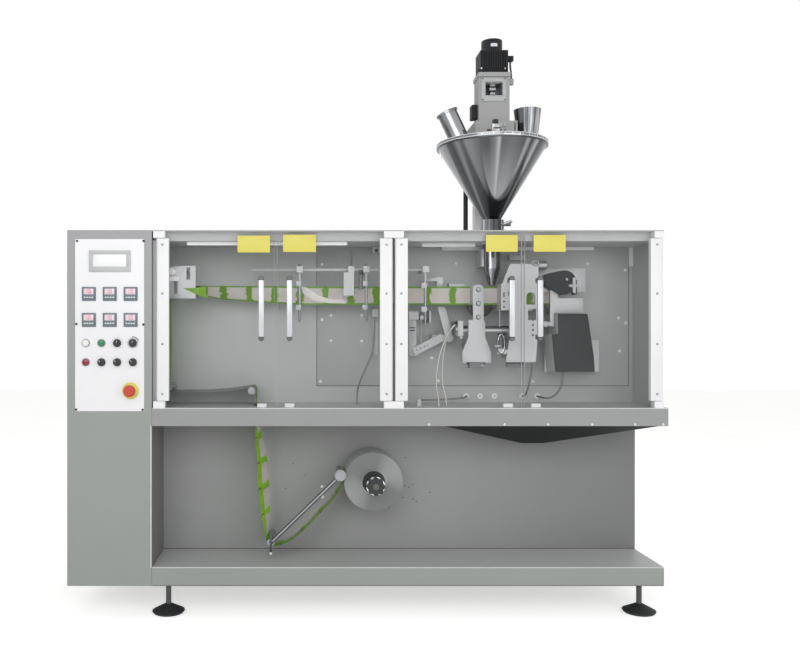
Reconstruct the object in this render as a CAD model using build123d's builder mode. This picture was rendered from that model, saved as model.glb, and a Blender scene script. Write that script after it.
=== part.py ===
# Horizontal form, fill and seal machine for film pouches: a grey cabinet on four
# levelling feet, a film reel and dancer in the open lower bay, and the folding,
# filling, sealing and cutting stations behind four clear doors. A hopper with its
# auger drive stands on the roof. Millimetres, +Z up, the front faces -Y.
import os
from math import acos, atan2, cos, degrees, hypot, radians, sin, sqrt, tan

from build123d import *

os.makedirs("parts", exist_ok=True)

# Cabinet
body_width = 2150.0
body_depth = 690.0
counter_overhang = 15.0  # the counter runs on past the right side
foot_height = 113.0  # floor to the cabinet's underside
access_proud = 3.0  # the rear panels stand out from the back
control_width = 305.0  # the column with the control panel
bay_depth = 260.0  # front plane to the back wall
wall_thickness = 3.0
base_height = 68.0
counter_height = 641.0  # cabinet underside to the counter's top
counter_thickness = 65.0
upper_bay_height = 605.0  # counter to the roof's underside
roof_thickness = 36.0
roof_skin = 4.0
side_thickness = 10.0
door_recess = 34.0  # the roof box and side wall stand back behind the doors

# Film and its rollers
film_width = 140.0
film_depth = 170.0  # front plane to the film's middle
film_thickness = 0.8
film_gap = 0.3  # film to a turning surface
band_drop = 157.5  # roof's underside to the upper edge of the folded film
fold_height = 70.5  # of the folded film
roller_radius = 14.0
shaft_radius = 6.0
running_fit = 0.05
roller_margin = 3.0  # roller past the film's edge
collar_radius = 10.0
collar_length = 4.0
end_float = 1.0

# Hopper and its drive
lid_radius = 208.0
hopper_x_from_right = 581.5

# Frame: X and Y are centred on the whole outline, Z starts at the floor
left_x = -(body_width + counter_overhang) / 2
right_x = left_x + body_width
column_x = left_x + control_width
front_reach = lid_radius - film_depth
front_y = -(body_depth + access_proud - front_reach) / 2
back_y = front_y + body_depth
wall_y = front_y + bay_depth
film_y = front_y + film_depth
underside_z = foot_height
base_z = underside_z + base_height
counter_z = underside_z + counter_height
counter_under_z = counter_z - counter_thickness
roof_under_z = counter_z + upper_bay_height
top_z = roof_under_z + roof_thickness
band_z = roof_under_z - band_drop
fold_low_z = band_z - fold_height
roof_front_y = front_y + door_recess
film_front_y = film_y - film_width / 2
film_back_y = film_y + film_width / 2


def block(left, right, front, back, bottom, top, mode=Mode.ADD):
    """A box between six limits."""
    with Locations(((left + right) / 2, (front + back) / 2, (bottom + top) / 2)):
        Box(right - left, back - front, top - bottom, mode=mode)


def rod_x(y, z, radius, left, right, mode=Mode.ADD):
    """A round bar along X."""
    with Locations(Location(((left + right) / 2, y, z), (0, 90, 0))):
        Cylinder(radius, right - left, mode=mode)


def rod_y(x, z, radius, front, back, mode=Mode.ADD):
    """A round bar along Y."""
    with Locations(Location((x, (front + back) / 2, z), (90, 0, 0))):
        Cylinder(radius, back - front, mode=mode)


def rod_z(x, y, radius, bottom, top, mode=Mode.ADD):
    """A round bar along Z."""
    with Locations((x, y, (bottom + top) / 2)):
        Cylinder(radius, top - bottom, mode=mode)


def front_plate(points, front, back, mode=Mode.ADD):
    """A flat plate of any outline in the XZ plane, between two Y limits."""
    with BuildSketch(Plane.XZ.offset(-back)) as outline:
        with BuildLine():
            Polyline(*points, close=True)
        make_face()
    extrude(outline.sketch, amount=back - front, mode=mode)


def placed(outline, x, z):
    """The points of an outline, measured from a place in the XZ plane."""
    return [(x + across, z + up) for across, up in outline]


def link_block(limits, x, z, front, back, mode=Mode.ADD):
    """A box whose left, right, bottom and top are measured from a place in the XZ plane."""
    left, right, bottom, top = limits
    block(x + left, x + right, front, back, z + bottom, z + top, mode)


def upright(x, y):
    """The plane of a turned profile whose axis is a vertical line."""
    return Plane(origin=(x, y, 0), x_dir=(1, 0, 0), z_dir=(0, -1, 0))


def save(piece, name):
    piece.part.label = name
    export_step(piece.part, f"parts/{name}.step")


# Cabinet pieces
with BuildPart() as control_cabinet:
    block(left_x, column_x, front_y, back_y, underside_z, top_z)
save(control_cabinet, "control_cabinet")

with BuildPart() as rear_cabinet:
    block(column_x, right_x, wall_y + wall_thickness, back_y, underside_z, top_z)
save(rear_cabinet, "rear_cabinet")

with BuildPart() as back_wall:
    block(column_x, right_x, wall_y, wall_y + wall_thickness, base_z, top_z)
save(back_wall, "back_wall")

with BuildPart() as base_tray:
    block(column_x, right_x, front_y, wall_y + wall_thickness, underside_z, base_z)
save(base_tray, "base_tray")

access_margin = 60.0
access_gap = 40.0
with BuildPart() as rear_access_panels:
    panel_width = (body_width - 2 * access_margin - 2 * access_gap) / 3
    for number in range(3):
        panel_left = left_x + access_margin + number * (panel_width + access_gap)
        block(
            panel_left,
            panel_left + panel_width,
            back_y,
            back_y + access_proud,
            underside_z + access_margin,
            top_z - access_margin,
        )
save(rear_access_panels, "rear_access_panels")

# Rollers: centres in X and Z
roller_a = (column_x + 354.0, counter_z + 56.0)  # above the slot in the counter
roller_b = (column_x + 43.5, counter_z + 66.0)  # beside the column
roller_c = (column_x + 43.5, band_z + 43.5)  # at the top of the rising run
wrap_radius = roller_radius + film_gap + film_thickness / 2
slot_width = 16.0
slot_margin = 8.0
slot_x = roller_a[0] + wrap_radius

with BuildPart() as counter:
    block(column_x, right_x + counter_overhang, front_y, wall_y, counter_under_z, counter_z)
    block(
        slot_x - slot_width / 2,
        slot_x + slot_width / 2,
        film_front_y - slot_margin,
        film_back_y + slot_margin,
        counter_under_z,
        counter_z,
        mode=Mode.SUBTRACT,
    )
save(counter, "counter")

hopper_x = right_x - hopper_x_from_right
neck_radius = 32.0
neck_fit = 0.5
with BuildPart() as roof_panel:
    block(column_x, right_x, roof_front_y, wall_y, roof_under_z, top_z - roof_skin)
    block(column_x, right_x, front_y, wall_y, top_z - roof_skin, top_z)
    rod_z(hopper_x, film_y, neck_radius + neck_fit, roof_under_z, top_z, mode=Mode.SUBTRACT)
save(roof_panel, "roof_panel")

with BuildPart() as side_wall:
    block(right_x - side_thickness, right_x, roof_front_y, wall_y, counter_z, roof_under_z)
save(side_wall, "side_wall")

# Cover over the drives on the upper back wall
cover_left = column_x + 597.5
cover_right_gap = 28.0
cover_bottom_z = counter_z + 65.0
cover_thickness = 2.0
cover_top_gap = 1.0
with BuildPart() as cover_panel:
    block(
        cover_left,
        right_x - cover_right_gap,
        wall_y - cover_thickness,
        wall_y,
        cover_bottom_z,
        roof_under_z - cover_top_gap,
    )
save(cover_panel, "cover_panel")

# Collecting pan under the counter
pan_left = right_x - 796.5
pan_right_gap = 5.0
pan_margin = 8.0
pan_drop = 72.0
pan_floor = (right_x - 491.5, right_x - 413.5)
pan_floor_depth = (80.0, 190.0)
with BuildPart() as collecting_pan:
    with BuildSketch(Plane.XY.offset(counter_under_z)):
        with Locations(((pan_left + right_x - pan_right_gap) / 2, front_y + bay_depth / 2)):
            Rectangle(right_x - pan_right_gap - pan_left, bay_depth - 2 * pan_margin)
    with BuildSketch(Plane.XY.offset(counter_under_z - pan_drop)):
        with Locations((sum(pan_floor) / 2, front_y + sum(pan_floor_depth) / 2)):
            Rectangle(pan_floor[1] - pan_floor[0], pan_floor_depth[1] - pan_floor_depth[0])
    loft(ruled=True)
save(collecting_pan, "collecting_pan")

# Levelling feet
foot_xs = (left_x + 356.5, right_x - 66.5)
foot_inset = 60.0
stem_radius = 10.0
pad_radius = 60.0
pad_base_radius = 54.0
pad_edge_z = 8.0
pad_top_radius = 16.0
pad_height = 31.0
nut_radius = 17.0
nut_height = 12.0
with BuildPart() as levelling_feet:
    for foot_x in foot_xs:
        for foot_y in (front_y + foot_inset, back_y - foot_inset):
            with BuildSketch(upright(foot_x, foot_y)):
                with BuildLine():
                    Polyline(
                        (0, 0),
                        (pad_base_radius, 0),
                        (pad_radius, pad_edge_z),
                        (pad_top_radius, pad_height),
                        (stem_radius, pad_height),
                        (stem_radius, underside_z - nut_height),
                        (nut_radius, underside_z - nut_height),
                        (nut_radius, underside_z),
                        (0, underside_z),
                        close=True,
                    )
                make_face()
            revolve(axis=Axis((foot_x, foot_y, 0), (0, 0, 1)))
save(levelling_feet, "levelling_feet")

# Doors: each pair meets at a line and turns on pins beside the stiles
meeting_left = column_x + 445.5
meeting_right = right_x - 502.5
door_gap = 9.0  # between the two free edges
stile_width = 46.0
stile_depth = 20.0
pivot_inset = stile_depth / 2  # pin to the stile's hinge edge
column_gap = 15.0  # stile to the column
centre_x = right_x - 972.9
centre_gap = 7.2
side_gap = 2.0
glass_thickness = 8.0
glass_lift = 1.0
door_clearance = 5.0
hinge_gap = 2.0
hinge_block_height = 24.0
hinge_block_reach = 22.0  # pin to the block's door side
pin_radius = 5.0
pin_length = 24.0
pin_fit = 0.06
notch_reach = 31.0
handle_width = 20.0
handle_height = 234.0
handle_bottom_z = counter_z + 241.0
handle_standoff = 45.0
handle_edge = 46.0  # handle's middle to the glass's free edge
handle_post = 24.0
handle_bar = 12.0

pin_y = front_y + pivot_inset
glass_front_y = front_y + stile_depth
glass_back_y = glass_front_y + glass_thickness
block_low_z = counter_z + hinge_block_height
block_high_z = top_z - roof_skin - hinge_block_height
stile_low_z = block_low_z + hinge_gap
stile_high_z = block_high_z - hinge_gap
glass_low_z = counter_z + door_clearance + glass_lift
glass_high_z = top_z - roof_skin - door_clearance

# Pivot X, the side that the door lies on (+1 right of its pin) and its free edge
doors = {
    "door_1": (column_x + column_gap + pivot_inset, 1, meeting_left - door_gap / 2),
    "door_2": (centre_x - centre_gap / 2 - pivot_inset, -1, meeting_left + door_gap / 2),
    "door_3": (centre_x + centre_gap / 2 + pivot_inset, 1, meeting_right - door_gap / 2),
    "door_4": (right_x - side_gap - pivot_inset, -1, meeting_right + door_gap / 2),
}


def span(start, side, near, far):
    """Left and right limits of a stretch that starts near and ends far from a pin."""
    ends = (start + side * near, start + side * far)
    return min(ends), max(ends)


def door_frame(pin_x, side, edge_x):
    """The hinge stile, with half-round edge and a bore for each pin, and the pull handle."""
    middle = edge_x - side * handle_edge
    bar_front = glass_front_y - handle_standoff
    handle_top = handle_bottom_z + handle_height
    handle_left, handle_right = middle - handle_width / 2, middle + handle_width / 2
    with BuildPart() as frame:
        block(handle_left, handle_right, bar_front, glass_front_y, handle_bottom_z, handle_top)
        corners = frame.edges().filter_by(Axis.X).group_by(Axis.Y)[0]
        fillet(corners, handle_bar)
        block(
            handle_left,
            handle_right,
            bar_front + handle_bar,
            glass_front_y,
            handle_bottom_z + handle_post,
            handle_top - handle_post,
            mode=Mode.SUBTRACT,
        )
        low, high = span(pin_x, side, 0, stile_width - pivot_inset)
        block(low, high, front_y, glass_front_y, stile_low_z, stile_high_z)
        rod_z(pin_x, pin_y, pivot_inset, stile_low_z, stile_high_z)
        bore = pin_length + hinge_gap
        rod_z(pin_x, pin_y, pin_radius + pin_fit, stile_low_z, stile_low_z + bore, mode=Mode.SUBTRACT)
        rod_z(pin_x, pin_y, pin_radius + pin_fit, stile_high_z - bore, stile_high_z, mode=Mode.SUBTRACT)
    return frame


def door_glass(pin_x, side, edge_x):
    """The clear sheet behind the stile, notched round both hinge blocks."""
    with BuildPart() as glass:
        low, high = min(pin_x, edge_x), max(pin_x, edge_x)
        block(low, high, glass_front_y, glass_back_y, glass_low_z, glass_high_z)
        low, high = span(pin_x, side, 0, notch_reach)
        notch_low = stile_low_z + door_clearance
        notch_high = stile_high_z - door_clearance
        block(low, high, glass_front_y, glass_back_y, glass_low_z, notch_low, mode=Mode.SUBTRACT)
        block(low, high, glass_front_y, glass_back_y, notch_high, glass_high_z, mode=Mode.SUBTRACT)
    return glass


for door, (pin_x, side, edge_x) in doors.items():
    save(door_frame(pin_x, side, edge_x), f"{door}_frame")
    save(door_glass(pin_x, side, edge_x), f"{door}_glass")


def hinge_block(left, right, pins):
    """A top and a bottom block, each with a pin for every door it carries."""
    block(left, right, front_y, roof_front_y, block_high_z, top_z - roof_skin)
    block(left, right, front_y, roof_front_y, counter_z, block_low_z)
    for pin_x in pins:
        rod_z(pin_x, pin_y, pin_radius, block_high_z - pin_length, block_high_z)
        rod_z(pin_x, pin_y, pin_radius, block_low_z, block_low_z + pin_length)


catch_width = 34.0
catch_height = 13.0
catch_depth = 16.0
with BuildPart() as door_fittings:
    pin_1, pin_2, pin_3, pin_4 = (place[0] for place in doors.values())
    hinge_block(pin_1 - hinge_block_reach + side_gap, pin_1 + hinge_block_reach, (pin_1,))
    hinge_block(pin_2 - hinge_block_reach, pin_3 + hinge_block_reach, (pin_2, pin_3))
    hinge_block(pin_4 - hinge_block_reach, right_x, (pin_4,))
    for pin_x, side, edge_x in doors.values():
        middle = edge_x - side * handle_edge
        block(
            middle - catch_width / 2,
            middle + catch_width / 2,
            glass_back_y + door_clearance,
            glass_back_y + door_clearance + catch_depth,
            counter_z,
            counter_z + catch_height,
        )
save(door_fittings, "door_fittings")

# Control panel: a plate with the display, six controllers and the switches
panel_left_gap = 30.0
panel_width = 248.0
panel_height = 619.0
panel_top_z = top_z - 33.0
panel_proud = 3.0
panel_left = left_x + panel_left_gap
panel_face_y = front_y - panel_proud
stop_x = panel_left + 199.5
stop_z = panel_top_z - 545.5
stop_stem_radius = 11.0
stop_fit = 0.1
with BuildPart() as control_panel:
    block(
        panel_left,
        panel_left + panel_width,
        panel_face_y,
        front_y,
        panel_top_z - panel_height,
        panel_top_z,
    )
    rod_y(
        stop_x,
        stop_z,
        stop_stem_radius + stop_fit,
        panel_face_y,
        front_y,
        mode=Mode.SUBTRACT,
    )
save(control_panel, "control_panel")

display_width = 149.5
display_height = 76.5
display_proud = 6.0
display_x = panel_left + 125.0
display_z = panel_top_z - 79.5
controller_size = 50.0
controller_proud = 8.0
controller_pitch = (75.0, 93.5)
controller_middle = (display_x, panel_top_z - 244.0)
with BuildPart() as panel_instruments:
    block(
        display_x - display_width / 2,
        display_x + display_width / 2,
        panel_face_y - display_proud,
        panel_face_y,
        display_z - display_height / 2,
        display_z + display_height / 2,
    )
    for column in (-1, 0, 1):
        for row in (-0.5, 0.5):
            middle_x = controller_middle[0] + column * controller_pitch[0]
            middle_z = controller_middle[1] + row * controller_pitch[1]
            block(
                middle_x - controller_size / 2,
                middle_x + controller_size / 2,
                panel_face_y - controller_proud,
                panel_face_y,
                middle_z - controller_size / 2,
                middle_z + controller_size / 2,
            )
save(panel_instruments, "panel_instruments")

switch_pitch = 56.4
switch_left_x = panel_left + 38.5
switch_high_z = panel_top_z - 374.0
switch_low_z = panel_top_z - 443.0
bezel_radius = 14.5
bezel_proud = 4.0
cap_radius = 11.0
cap_proud = 12.0
knob_radius = 12.0
knob_proud = 22.0
switch_xs = [switch_left_x + switch_pitch * number for number in range(4)]


def push_button(x, z):
    """A round lamp or button in its bezel."""
    rod_y(x, z, bezel_radius, panel_face_y - bezel_proud, panel_face_y)
    rod_y(x, z, cap_radius, panel_face_y - cap_proud, panel_face_y - bezel_proud)


def turn_knob(x, z):
    """A round knob with a bar across its face."""
    rod_y(x, z, bezel_radius, panel_face_y - bezel_proud, panel_face_y)
    rod_y(x, z, knob_radius, panel_face_y - knob_proud, panel_face_y - bezel_proud)


with BuildPart() as panel_switches:
    push_button(switch_xs[0], switch_high_z)
    push_button(switch_xs[1], switch_high_z)
    push_button(switch_xs[0], switch_low_z)
    turn_knob(switch_xs[2], switch_high_z)
    turn_knob(switch_xs[3], switch_high_z)
    for switch_x in switch_xs[1:]:
        turn_knob(switch_x, switch_low_z)
save(panel_switches, "panel_switches")

stop_ring_radius = 30.0
stop_ring_proud = 3.0
stop_sleeve_radius = 14.0
stop_sleeve_proud = 9.0
stop_head_radius = 21.0
stop_head_height = 14.0
stop_travel = 6.0
stop_face_y = panel_face_y - stop_ring_proud
stop_head_y = stop_face_y - stop_sleeve_proud - stop_travel - end_float
with BuildPart() as stop_button_base:
    rod_y(stop_x, stop_z, stop_ring_radius, stop_face_y, panel_face_y)
    rod_y(stop_x, stop_z, stop_sleeve_radius, stop_face_y - stop_sleeve_proud, stop_face_y)
    rod_y(
        stop_x,
        stop_z,
        stop_stem_radius + stop_fit,
        stop_face_y - stop_sleeve_proud,
        panel_face_y,
        mode=Mode.SUBTRACT,
    )
save(stop_button_base, "stop_button_base")

with BuildPart() as stop_button_head:
    rod_y(stop_x, stop_z, stop_head_radius, stop_head_y - stop_head_height, stop_head_y)
    front_edge = stop_button_head.edges().filter_by(GeomType.CIRCLE).sort_by(Axis.Y)[0]
    fillet(front_edge, stop_head_height / 2)
    rod_y(stop_x, stop_z, stop_stem_radius, stop_head_y, stop_face_y - end_float)
save(stop_button_head, "stop_button_head")


# Rollers on shafts from the back wall
shaft_front_y = film_front_y - roller_margin - end_float - collar_length


def idler_roller(centre):
    with BuildPart() as roller:
        rod_y(*centre, roller_radius, film_front_y - roller_margin, film_back_y + roller_margin)
        rod_y(
            *centre,
            shaft_radius + running_fit,
            film_front_y - roller_margin,
            film_back_y + roller_margin,
            mode=Mode.SUBTRACT,
        )
    return roller


for letter, centre in (("a", roller_a), ("b", roller_b), ("c", roller_c)):
    save(idler_roller(centre), f"idler_roller_{letter}")

# Reel of film on its spindle
reel_centre = (column_x + 807.5, base_z + 289.0)
reel_radius = 110.0
core_radius = 40.0
spindle_radius = 15.0
hub_radius = 44.0
hub_length = 8.0
sleeve_radius = 20.0
knob_lobe_radius = 34.0
knob_length = 22.0
knob_front_y = front_y - 6.0
spindle_front_y = knob_front_y + knob_length / 2
backing_radius = 30.0
with BuildPart() as film_roll:
    rod_y(*reel_centre, reel_radius, film_front_y, film_back_y)
    rod_y(*reel_centre, core_radius, film_front_y, film_back_y, mode=Mode.SUBTRACT)
save(film_roll, "film_roll")

lobe_count = 8
lobe_radius = 9.0
with BuildPart() as reel_hub:
    rod_y(*reel_centre, core_radius, film_front_y, film_back_y)
    rod_y(*reel_centre, hub_radius, film_front_y - hub_length, film_front_y)
    rod_y(*reel_centre, sleeve_radius, knob_front_y + knob_length, film_front_y - hub_length)
    rod_y(
        *reel_centre,
        spindle_radius + running_fit,
        knob_front_y + knob_length,
        film_back_y,
        mode=Mode.SUBTRACT,
    )
    rod_y(*reel_centre, knob_lobe_radius - lobe_radius, knob_front_y, knob_front_y + knob_length)
    for number in range(lobe_count):
        lobe_angle = radians(number * 360 / lobe_count)
        lobe_reach = knob_lobe_radius - lobe_radius
        lobe = (
            reel_centre[0] + lobe_reach * cos(lobe_angle),
            reel_centre[1] + lobe_reach * sin(lobe_angle),
        )
        rod_y(*lobe, lobe_radius, knob_front_y, knob_front_y + knob_length)
    rod_y(
        *reel_centre,
        spindle_radius + running_fit,
        spindle_front_y - end_float,
        knob_front_y + knob_length,
        mode=Mode.SUBTRACT,
    )
save(reel_hub, "reel_hub")

# Dancer: an arm that rides on the film between the reel and the counter
dancer_pivot = (column_x + 683.5, base_z + 315.0)
dancer_roller_centre = (column_x + 425.5, base_z + 65.0)
dancer_shaft_radius = 10.0
dancer_hub_radius = 24.0
dancer_hub_length = 12.0
dancer_arm_front_y = film_front_y - roller_margin - end_float - dancer_hub_length
dancer_rod_radius = 5.0
dancer_rod_spread = 14.0
end_plate_width = 26.0
end_plate_low = 34.0
end_plate_high = 44.0
pivot_cap_radius = 18.0
cap_length = 4.0
arm_vector = (
    dancer_roller_centre[0] - dancer_pivot[0],
    dancer_roller_centre[1] - dancer_pivot[1],
)
arm_length = hypot(*arm_vector)
arm_angle = degrees(atan2(arm_vector[1], arm_vector[0]))
arm_middle = (
    (dancer_pivot[0] + dancer_roller_centre[0]) / 2,
    (dancer_pivot[1] + dancer_roller_centre[1]) / 2,
)
with BuildPart() as roller_shafts:
    for centre in (roller_a, roller_b, roller_c):
        rod_y(*centre, shaft_radius, shaft_front_y, wall_y)
        rod_y(*centre, collar_radius, shaft_front_y, shaft_front_y + collar_length)
        rod_y(*centre, collar_radius, film_back_y + roller_margin + end_float, wall_y)
    rod_y(*reel_centre, spindle_radius, spindle_front_y, wall_y)
    rod_y(*reel_centre, backing_radius, film_back_y + end_float, wall_y)
    rod_y(*dancer_pivot, dancer_shaft_radius, dancer_arm_front_y - end_float, wall_y)
    rod_y(
        *dancer_pivot,
        pivot_cap_radius,
        dancer_arm_front_y - end_float - cap_length,
        dancer_arm_front_y - end_float,
    )
save(roller_shafts, "roller_shafts")

with BuildPart() as dancer_arm:
    arm_y = dancer_arm_front_y + dancer_hub_length / 2
    rod_y(*dancer_pivot, dancer_hub_radius, dancer_arm_front_y, dancer_arm_front_y + dancer_hub_length)
    for offset in (-dancer_rod_spread / 2, dancer_rod_spread / 2):
        shift = (offset * sin(radians(arm_angle)), -offset * cos(radians(arm_angle)))
        place = (arm_middle[0] + shift[0], arm_y, arm_middle[1] + shift[1])
        with Locations(Location(place, (0, 90 - arm_angle, 0))):
            Cylinder(dancer_rod_radius, arm_length)
    block(
        dancer_roller_centre[0] - end_plate_width / 2,
        dancer_roller_centre[0] + end_plate_width / 2,
        dancer_arm_front_y,
        dancer_arm_front_y + dancer_hub_length,
        dancer_roller_centre[1] - end_plate_low,
        dancer_roller_centre[1] + end_plate_high,
    )
    rod_y(*dancer_roller_centre, shaft_radius, dancer_arm_front_y, film_back_y + roller_margin + end_float)
    rod_y(
        *dancer_roller_centre,
        collar_radius,
        film_back_y + roller_margin + end_float,
        film_back_y + roller_margin + end_float + collar_length,
    )
    rod_y(
        *dancer_pivot,
        dancer_shaft_radius + running_fit,
        dancer_arm_front_y,
        dancer_arm_front_y + dancer_hub_length,
        mode=Mode.SUBTRACT,
    )
save(dancer_arm, "dancer_arm")

save(idler_roller(dancer_roller_centre), "dancer_roller")


# Film: one web from the reel to the cutter, in the XZ plane
def wrap_corner(centre, first_angle, last_angle):
    """Where the two straight runs beside a roller would meet."""
    first = (cos(radians(first_angle)), sin(radians(first_angle)))
    last = (cos(radians(last_angle)), sin(radians(last_angle)))
    share = wrap_radius / (1 + first[0] * last[0] + first[1] * last[1])
    return (
        centre[0] + share * (first[0] + last[0]),
        centre[1] + share * (first[1] + last[1]),
    )


def film_web(points, radii):
    """A sheet of the film's width along a path of straight runs and arcs."""
    with BuildPart() as web:
        with BuildSketch(Plane.XZ.offset(-film_back_y)):
            with BuildLine():
                FilletPolyline(*points, radius=radii)
            trace(line_width=film_thickness)
        extrude(amount=film_width)
    return web


def loop_corner(centre, before, after):
    """The corner of a loop that hangs under a roller, between the points on its two runs."""
    turns = []
    for point, side in ((before, -1), (after, 1)):
        reach = (point[0] - centre[0], point[1] - centre[1])
        lean = degrees(acos(wrap_radius / hypot(*reach)))
        turns.append(degrees(atan2(reach[1], reach[0])) + side * lean)
    return wrap_corner(centre, *turns)


run_length = hypot(roller_b[0] - roller_a[0], roller_b[1] - roller_a[1])
run_slope = degrees(atan2(roller_b[1] - roller_a[1], roller_b[0] - roller_a[0]))
cross_angle = degrees(atan2(2 * wrap_radius, run_length))
leave_a = run_slope - 90 + cross_angle
film_split_z = counter_z - counter_thickness / 2
former_start = (column_x + 105.5, band_z + 1.5)
upper_path = [
    (slot_x, film_split_z),
    wrap_corner(roller_a, 0, leave_a),
    wrap_corner(roller_b, leave_a + 180, 180),
    wrap_corner(roller_c, 180, 45),
    former_start,
]
save(film_web(upper_path, [wrap_radius] * 3), "film_upper_run")

reel_leave_angle = 160.0
leave_radius = reel_radius + film_gap + film_thickness / 2
reel_leave = (
    reel_centre[0] + leave_radius * cos(radians(reel_leave_angle)),
    reel_centre[1] + leave_radius * sin(radians(reel_leave_angle)),
)
before_dancer = (column_x + 515.5, base_z + 81.0)
after_dancer = (column_x + 391.5, base_z + 219.0)
sag_radii = (60.0, 200.0, 120.0)
rise_radii = (300.0, 300.0)
lower_path = [
    reel_leave,
    (column_x + 675.5, base_z + 249.0),
    (column_x + 607.5, base_z + 171.0),
    before_dancer,
    loop_corner(dancer_roller_centre, before_dancer, after_dancer),
    after_dancer,
    (slot_x, counter_under_z - 79.0),
    (slot_x, film_split_z),
]
lower_radii = [*sag_radii, wrap_radius, *rise_radii]
save(film_web(lower_path, lower_radii), "film_lower_loop")

# Film in the former: flat at its start, folded double along its lower edge at its end
fold_thickness = 3.0
former_stations = ((0.0, 2.0), (132.0, 50.0), (421.0, fold_height))  # along X, fold below the edges
band_end_x = right_x - 363.5


def wing_width(fold_drop):
    """How far each edge still stands off the fold, seen from above."""
    return max(sqrt(max((film_width / 2) ** 2 - fold_drop**2, 0)), fold_thickness / 2)


with BuildPart() as folded_film:
    for side in (-1, 1):
        edges = []
        folds = []
        for along, drop in former_stations:
            station = former_start[0] + along
            edges.append(Vector(station, film_y + side * wing_width(drop), band_z))
            folds.append(Vector(station, film_y, band_z - drop))
        inward = Vector(0, -side, 1).normalized()
        for number in range(len(former_stations) - 1):
            upper = Wire.make_polygon([edges[number], folds[number + 1], edges[number + 1]])
            lower = Wire.make_polygon([edges[number], folds[number], folds[number + 1]])
            extrude(Face(upper), amount=film_thickness, dir=inward)
            extrude(Face(lower), amount=film_thickness, dir=inward)
    block(
        former_start[0] + former_stations[-1][0],
        band_end_x,
        film_y - fold_thickness / 2,
        film_y + fold_thickness / 2,
        fold_low_z,
        band_z,
    )
save(folded_film, "folded_film")

# Guide plate of the folding station, on two standoffs
guide_front_y = front_y + 84.0
guide_thickness = 6.0
guide_width = 104.0
guide_height = 121.0
guide_left = column_x + 43.5
guide_low_z = band_z - 49.5
standoff_radius = 6.0
guide_standoffs = ((89.0, 14.0), (50.0, 110.0))
slot_across = 14.0
guide_slots = ((23.0, 18.0, 52.0), (70.0, 70.0, 45.0))  # left, bottom and height on the plate
guide_pin = (16.0, 99.5, 13.0)  # across, up and radius
guide_pin_length = 10.0
guide_bracket = (2.5, 43.0, 64.5, 79.5)
guide_bracket_depth = 8.0
with BuildPart() as guide_plate:
    guide_back_y = guide_front_y + guide_thickness
    block(
        guide_left,
        guide_left + guide_width,
        guide_front_y,
        guide_back_y,
        guide_low_z,
        guide_low_z + guide_height,
    )
    for slot_left, slot_low, slot_height in guide_slots:
        block(
            guide_left + slot_left,
            guide_left + slot_left + slot_across,
            guide_front_y,
            guide_back_y,
            guide_low_z + slot_low,
            guide_low_z + slot_low + slot_height,
            mode=Mode.SUBTRACT,
        )
    rod_y(
        guide_left + guide_pin[0],
        guide_low_z + guide_pin[1],
        guide_pin[2],
        guide_front_y - guide_pin_length,
        guide_front_y,
    )
    bracket_front_y = guide_front_y - guide_bracket_depth
    link_block(guide_bracket, guide_left, guide_low_z, bracket_front_y, guide_front_y)
    for standoff_x, standoff_z in guide_standoffs:
        rod_y(guide_left + standoff_x, guide_low_z + standoff_z, standoff_radius, guide_back_y, wall_y)
save(guide_plate, "guide_plate")

# A rail along the film, with clamps that carry the upright rods
rail_y = front_y + 130.0
rail_z = band_z + 60.5
rail_radius = 6.0
rail_left = right_x - 1492.5
rail_right = right_x - 835.5
clamp_half = 12.0
post_y = rail_y - 14.0
post_radius = 5.0
stop_radius = 9.0
stop_height = 12.0
sensor_post_x = right_x - 1120.0
slide_post_x = right_x - 1063.5
posts = (
    (right_x - 1312.5, -196.0, 20.0, (-148.0, -58.0)),
    (sensor_post_x, -56.0, 72.0, ()),
    (slide_post_x, -196.0, 23.0, (-147.0, -59.0)),
    (right_x - 842.5, -207.0, 6.0, (-154.0, -64.0)),
)  # X, bottom, top and stop collars, all from the rail
with BuildPart() as guide_rods:
    rod_x(rail_y, rail_z, rail_radius, rail_left, rail_right)
    for post_x, post_low, post_high, stops in posts:
        rod_z(post_x, post_y, post_radius, rail_z + post_low, rail_z + post_high)
        for stop in stops:
            rod_z(post_x, post_y, stop_radius, rail_z + stop, rail_z + stop + stop_height)
        block(
            post_x - clamp_half,
            post_x + clamp_half,
            post_y - clamp_half,
            rail_y + clamp_half,
            rail_z - clamp_half,
            rail_z + clamp_half,
        )
        rod_y(post_x, rail_z, rail_radius, rail_y, wall_y - cover_thickness * (post_x > cover_left))
save(guide_rods, "guide_rods")

# Photo sensor: a strip in front of one rod, a box and a barrel beside another
strip_half = 19.5
strip_shift = 9.0
strip_thickness = 5.0
strip_drop = 98.0
box_width = 16.5
box_height = 20.0
box_drop = 2.0
barrel_radius = 7.5
barrel_length = 53.0
with BuildPart() as photo_sensor:
    strip_back_y = post_y - post_radius - film_gap
    strip_middle = sensor_post_x - strip_shift
    block(
        strip_middle - strip_half,
        strip_middle + strip_half,
        strip_back_y - strip_thickness,
        strip_back_y,
        rail_z - strip_drop,
        rail_z - clamp_half,
    )
    box_right = slide_post_x - clamp_half
    box_top = rail_z - box_drop
    block(box_right - box_width, box_right, post_y - clamp_half, post_y, box_top - box_height, box_top)
    rod_z(
        box_right - box_width / 2,
        post_y - clamp_half / 2,
        barrel_radius,
        box_top - box_height - barrel_length,
        box_top - box_height,
    )
save(photo_sensor, "photo_sensor")

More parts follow.
